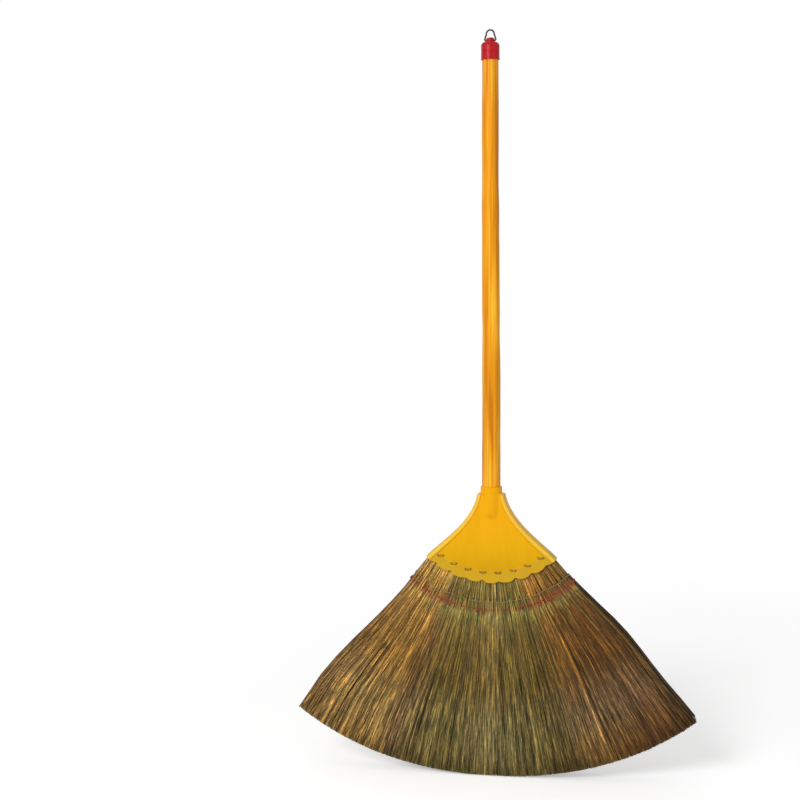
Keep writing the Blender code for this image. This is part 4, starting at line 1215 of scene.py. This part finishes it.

        # Inner strands get painted shade, except at the fan's sides, where they show.
        hidden = inner & ~self.at_side(across[:, -1:])
        tone = np.where(hidden, self.HIDDEN_SHADE_TONE, chance.uniform(*self.CLUMP_TONES, self.CLUMPS)[clump])
        in_locks = (tip + 0.5) * self.LOCKS
        lock = np.clip(np.floor(in_locks), 0, self.LOCKS - 1).astype(int)
        tone = tone + chance.uniform(*self.LOCK_TONES, self.LOCKS)[lock]
        tone -= self.LOCK_SHADE * np.exp(-((in_locks - np.round(in_locks)) / self.LOCK_GAP / self.LOCKS) ** 2)
        tone = tone + chance.normal(0, self.TONE_SPREAD_BETWEEN, (count, 1))
        tone = tone + chance.normal(0, self.TONE_SPREAD_ALONG, radii.shape)
        green = chance.normal(self.MEAN_GREEN, self.GREEN_SPREAD, (count, 1))
        green = np.clip(green, 0, self.GREENEST_STRAND) * (1 - steps) ** self.GREEN_POWER
        return paths, radii, tone, green

    def bunch(self, material):
        """One bunch as one piece."""
        shapes, marks = [], []
        for kind, sides, flatness in self.KINDS:
            paths, radii, tone, green = getattr(self, kind)()
            shapes.append(tube_shapes(paths, radii, sides, DEPTHWISE, flatness))
            across, drop = paths[..., 0], FAN_CENTRE_HEIGHT - paths[..., 2]
            zone = (np.arctan2(across[:, -1:], drop[:, -1:]) / ZONE_HALF_ANGLE + 1) / 2
            zone = zone + self.chance.normal(0, self.ZONE_SPREAD, zone.shape)
            values = (np.clip(zone, 0, 1), np.clip(tone, 0, 1), green, np.hypot(across, drop))
            marks.append([np.repeat(np.broadcast_to(value, radii.shape), sides) for value in values])
        piece = new_piece("grass_%02d" % (self.number + 1), *joined(shapes))
        for name, parts in zip(GRASS_MARKS, zip(*marks)):
            mark(piece, name, np.concatenate(parts))
        slot = GRASS_SLOTS[len(GRASS_SLOTS) * self.number // BUNCHES]
        dress(piece, material, slot, BUNCH_NODES[self.number])

    def execute(self, context):
        self.grass = context.scene.broom_grass
        self.twine = context.scene.broom_twine
        self.lip = context.scene.broom_head.lip_radius
        material = dried_grass(self.twine)
        for number in range(BUNCHES):
            self.number, self.chance = number, np.random.default_rng(SEED + number)
            self.bunch(material)
        return {"FINISHED"}


# Twine

class BROOM_OT_twine(Operator):
    """Lays the two rows of twisted twine round the fan, dipping between the bunches, with their knots"""
    bl_idname = "broom.twine"
    bl_label = "Twine"

    PALE_PLY, PALE_PITCH = 0.00028, 0.0026
    RED_PLY, RED_PITCH = 0.00045, 0.0032
    PLY_FIT = 1.06
    FACE = 0.0071
    DIP = 0.0007
    DIP_POWER = 0.7
    CORNER = 0.0030
    SIDE_GAP = 0.0009
    POINTS_PER_BUNCH = 30
    CORNER_POINTS = 16
    PLIES = 2
    SIDES = 6
    WANDER = 0.0005
    # Share, waves in a full turn, and phase
    WANDER_WAVES = ((1.0, 23, 0), (0.6, 61, 1))
    TIED_SHARE = 0.75
    KNOT_LENGTH = 0.0046
    KNOT_RADIUS = 0.0010
    KNOT_SIZES = (0.6, 1.1)
    KNOT_SLANT = 0.25
    KNOT_END = 0.05
    KNOT_STEPS = np.linspace(-0.5, 0.5, 7)
    TAIL_RADIUS = 0.00025
    TAIL_FALLS = (0.002, 0.006)
    TAIL_DRIFT = 0.0036
    TAIL_LIFT = 0.0006
    TAIL_CURL = 0.0012
    TIED_BUNCHES = (2, 4, 24)
    TIE_STEPS = np.linspace(0, 1, 12)
    TIE_SLANT = 0.8
    TIE_SIZE = 0.6
    TIE_BULGE = 0.0006

    def centre_line(self, radius, ply):
        """Angles and depths of the row: over the front, round the right side, and back behind. It dips into
        the gaps between bunches."""
        sides = [side + (ply + self.SIDE_GAP) / radius for side in side_angles(radius, self.lip)]
        left, right = (side - self.CORNER / radius for side in sides)
        angles = np.linspace(-left, right, BUNCHES * self.POINTS_PER_BUNCH)
        share = angles / np.where(angles < 0, *sides) + 1
        gap = 1 - np.abs(np.sin(math.pi * share * BUNCHES / 2)) ** self.DIP_POWER
        face = self.FACE + ply
        depth = face - self.DIP * gap
        turn = np.linspace(-QUARTER, QUARTER, self.CORNER_POINTS)[1:-1]
        turn_depths = np.where(turn < 0, self.CORNER - face, face - self.CORNER) + self.CORNER * np.sin(turn)
        reach = self.CORNER * np.cos(turn) / radius
        angles = np.concatenate([angles, right + reach, angles[::-1], -(left + reach)])
        return angles, np.concatenate([-depth, turn_depths, depth[::-1], turn_depths[::-1]])

    def row(self, radius, ply, pitch):
        """Two plies laid round each other along the row."""
        angles, depths = (np.append(values, values[0]) for values in self.centre_line(radius, ply))
        waves = sum(part * np.sin(count * angles + phase) for part, count, phase in self.WANDER_WAVES)
        line = fan_point(radius + self.WANDER * waves, angles, depths)
        walked = np.concatenate([[0], np.cumsum(np.linalg.norm(np.diff(line, axis=0), axis=1))])
        walked *= round(walked[-1] / pitch) / walked[-1] * TURN
        outward = fan_point(1.0, angles) - (0, 0, FAN_CENTRE_HEIGHT)
        sideways = np.cross(unit(np.gradient(line, axis=0)), outward)
        phases = [(walked + TURN * i / self.PLIES)[:, None] for i in range(self.PLIES)]
        paths = [line + ply * (np.cos(phase) * outward + np.sin(phase) * sideways) for phase in phases]
        return tube_shapes(np.array(paths), ply * self.PLY_FIT, self.SIDES, outward)

    def knots(self, radius, ply, chance):
        """A small knot with a short frayed end wherever the row is tied between two bunches."""
        borders = np.repeat(np.arange(1, BUNCHES), 2)
        borders = borders[chance.random(len(borders)) < self.TIED_SHARE]
        column, steps, walked = (len(borders), 1), self.KNOT_STEPS, self.KNOT_STEPS + 0.5
        side = np.where(chance.random(column) < 0.5, -1.0, 1.0)
        angle = fan_angle(borders * 2 / BUNCHES - 1, radius, self.lip)[:, None]
        size = chance.uniform(*self.KNOT_SIZES, column)
        depth = self.FACE + ply
        reach = size * self.KNOT_LENGTH * steps
        knot = fan_point(radius + self.KNOT_SLANT * reach, angle + reach / radius, side * depth)
        thick = self.KNOT_RADIUS * size * np.sqrt(np.clip(1 - (2 * steps) ** 2, self.KNOT_END, 1))
        fall = chance.uniform(*self.TAIL_FALLS, column) * walked
        drift = chance.uniform(-1, 1, column) * walked * self.TAIL_DRIFT / radius
        lift = self.TAIL_LIFT + self.TAIL_CURL * walked
        tail = fan_point(radius + fall, angle + drift, side * (depth + lift))
        return [tube_shapes(knot, thick, self.SIDES, DEPTHWISE),
                tube_shapes(tail, self.TAIL_RADIUS, self.SIDES, DEPTHWISE)]

    def ties(self, pale_radius, red_radius, ply):
        """Slanting stitches that catch the row above."""
        steps = self.TIE_STEPS
        share = (np.array(self.TIED_BUNCHES)[:, None] + self.TIE_SLANT * steps) * 2 / BUNCHES - 1
        radius = pale_radius + (red_radius - pale_radius) * steps
        depth = self.FACE + 2 * ply + self.TIE_BULGE * np.sin(math.pi * steps)
        path = fan_point(radius, fan_angle(share, radius, self.lip), -depth)
        return tube_shapes(path, self.TIE_SIZE * ply, self.SIDES, DEPTHWISE)

    def execute(self, context):
        twine = context.scene.broom_twine
        self.lip = context.scene.broom_head.lip_radius
        chance = np.random.default_rng(SEED)
        pale = self.row(twine.pale_radius, self.PALE_PLY, self.PALE_PITCH)
        red = joined([self.row(twine.red_radius, self.RED_PLY, self.RED_PITCH),
                      *self.knots(twine.red_radius, self.RED_PLY, chance),
                      self.ties(twine.pale_radius, twine.red_radius, self.RED_PLY)])
        undyed = spun_twine("undyed_twine", twine.pale_colour)
        dyed = spun_twine("red_dyed_twine", twine.red_colour)
        dress(new_piece("pale_row", *pale), undyed, "pale_twine", "pale_twine")
        dress(new_piece("red_row", *red), dyed, "red_twine", "red_twine")
        return {"FINISHED"}


# Stage

class BROOM_OT_stage(Operator):
    """Sets the pale floor, the soft light and the camera"""
    bl_idname = "broom.stage"
    bl_label = "Stage"

    TARGET = (-0.1096, 0.0, 0.4487)
    SENSOR_MM = 36.0
    FLOOR_SIZE = 12.0
    FLOOR_SINK = 0.0005
    WHITE = (1.0, 1.0, 1.0, 1.0)
    PAPER = (0.9, 0.9, 0.9, 1.0)
    WORLD_LEVELS = {"To Min": 0.42, "To Max": 1.0}
    FLOOR_GLOW = {"From Min": 0.45, "From Max": 2.4, "To Min": 0.41, "To Max": 0.68}
    # Name, place, size and power of each lamp
    LAMPS = (("key", (-0.95, -2.40, 1.7), 1.1, 45), ("fill", (1.9, -1.3, 0.9), 1.4, 4))

    def seen_directly(self, add):
        """1 for rays from the camera, a mirror-like surface or clear glass, and 0 for the rest."""
        seen = add("LightPath", "Is Camera Ray")
        for name in ("Is Glossy Ray", "Is Transmission Ray"):
            seen = add("Math", "Value", {0: seen, 1: add("LightPath", name)}, operation="MAXIMUM")
        return seen

    def world(self, scene):
        scene.world = bpy.data.worlds.new("studio")
        scene.world.use_nodes = True
        scene.world.node_tree.nodes.clear()
        add = partial(add_node, scene.world.node_tree)
        level = add("MapRange", "Result", {"Value": self.seen_directly(add), **self.WORLD_LEVELS})
        light = add("Background", "Background", {"Color": self.WHITE, "Strength": level})
        add("OutputWorld", None, {"Surface": light})

    def floor(self):
        """A white floor that shows the broom's shadow, and fades into the white behind it."""
        bpy.ops.mesh.primitive_plane_add(size=self.FLOOR_SIZE, location=(0, 0, -self.FLOOR_SINK))
        floor = bpy.context.object
        floor.name = "floor"
        material, add, place = start_material("white_paper")
        away = add("VectorMath", "Value", {0: place}, operation="LENGTH")
        strength = add("MapRange", "Result", {"Value": away, **self.FLOOR_GLOW})
        paper = add("BsdfDiffuse", "BSDF", {"Color": self.PAPER})
        glow = add("Emission", "Emission", {"Color": self.WHITE, "Strength": strength})
        dark = add("Emission", "Emission", {"Strength": 0.0})
        lift = add("MixShader", "Shader", {0: self.seen_directly(add), 1: dark, 2: glow})
        add("OutputMaterial", None, {"Surface": add("AddShader", "Shader", {0: paper, 1: lift})})
        floor.data.materials.append(material)

    def lamp(self, name, place, size, power):
        light = bpy.data.lights.new(name, "AREA")
        light.shape = "DISK"
        light.size = size
        light.energy = power
        lamp = new_object(name, light)
        lamp.location = place
        aim = Vector((0, 0, FAN_CENTRE_HEIGHT)) - Vector(place)
        lamp.rotation_euler = aim.to_track_quat("-Z", "Y").to_euler()

    def camera(self, scene, stage):
        """Looks at the target from an azimuth and an elevation, and rolls about its line of sight."""
        back = Vector((math.sin(stage.azimuth) * math.cos(stage.elevation),
                       -math.cos(stage.azimuth) * math.cos(stage.elevation), math.sin(stage.elevation)))
        right = Vector(UPWARD).cross(back).normalized()
        up = back.cross(right)
        cos, sin = math.cos(stage.roll), math.sin(stage.roll)
        data = bpy.data.cameras.new("camera")
        data.sensor_width = self.SENSOR_MM
        data.lens = stage.focal_length
        camera = new_object("camera", data)
        camera.location = Vector(self.TARGET) + stage.distance * back
        axes = (cos * right + sin * up, cos * up - sin * right, back)
        camera.rotation_euler = Matrix(axes).transposed().to_euler()
        scene.camera = camera

    def execute(self, context):
        scene = context.scene
        scene.view_settings.view_transform = "Standard"
        self.world(scene)
        self.floor()
        for lamp in self.LAMPS:
            self.lamp(*lamp)
        self.camera(scene, scene.broom_stage)
        return {"FINISHED"}


class BROOM_PT_panel(bpy.types.Panel):
    """Settings and steps of the broom"""
    bl_idname = "BROOM_PT_panel"
    bl_label = "Straw broom"
    bl_space_type = "VIEW_3D"
    bl_region_type = "UI"
    bl_category = "Broom"

    def draw(self, context):
        for name in SETTINGS:
            box = self.layout.box()
            group = getattr(context.scene, name)
            for key in group.bl_rna.properties.keys():
                if key not in ("name", "rna_type"):
                    box.prop(group, key)
        for operator in OPERATORS:
            self.layout.operator(operator.bl_idname)


OPERATORS = (BROOM_OT_stage, BROOM_OT_pole, BROOM_OT_end_cap, BROOM_OT_hang_loop, BROOM_OT_head,
             BROOM_OT_fasteners, BROOM_OT_grass, BROOM_OT_twine)
CLASSES = (*SETTINGS.values(), *OPERATORS, BROOM_PT_panel)


def register():
    for kind in CLASSES:
        bpy.utils.register_class(kind)
    for name, group in SETTINGS.items():
        setattr(bpy.types.Scene, name, PointerProperty(type=group))


def unregister():
    for name in SETTINGS:
        delattr(bpy.types.Scene, name)
    for kind in reversed(CLASSES):
        bpy.utils.unregister_class(kind)


def main():
    register()
    for operator in OPERATORS:
        family, step = operator.bl_idname.split(".")
        getattr(getattr(bpy.ops, family), step)()


if __name__ == "__main__":
    main()
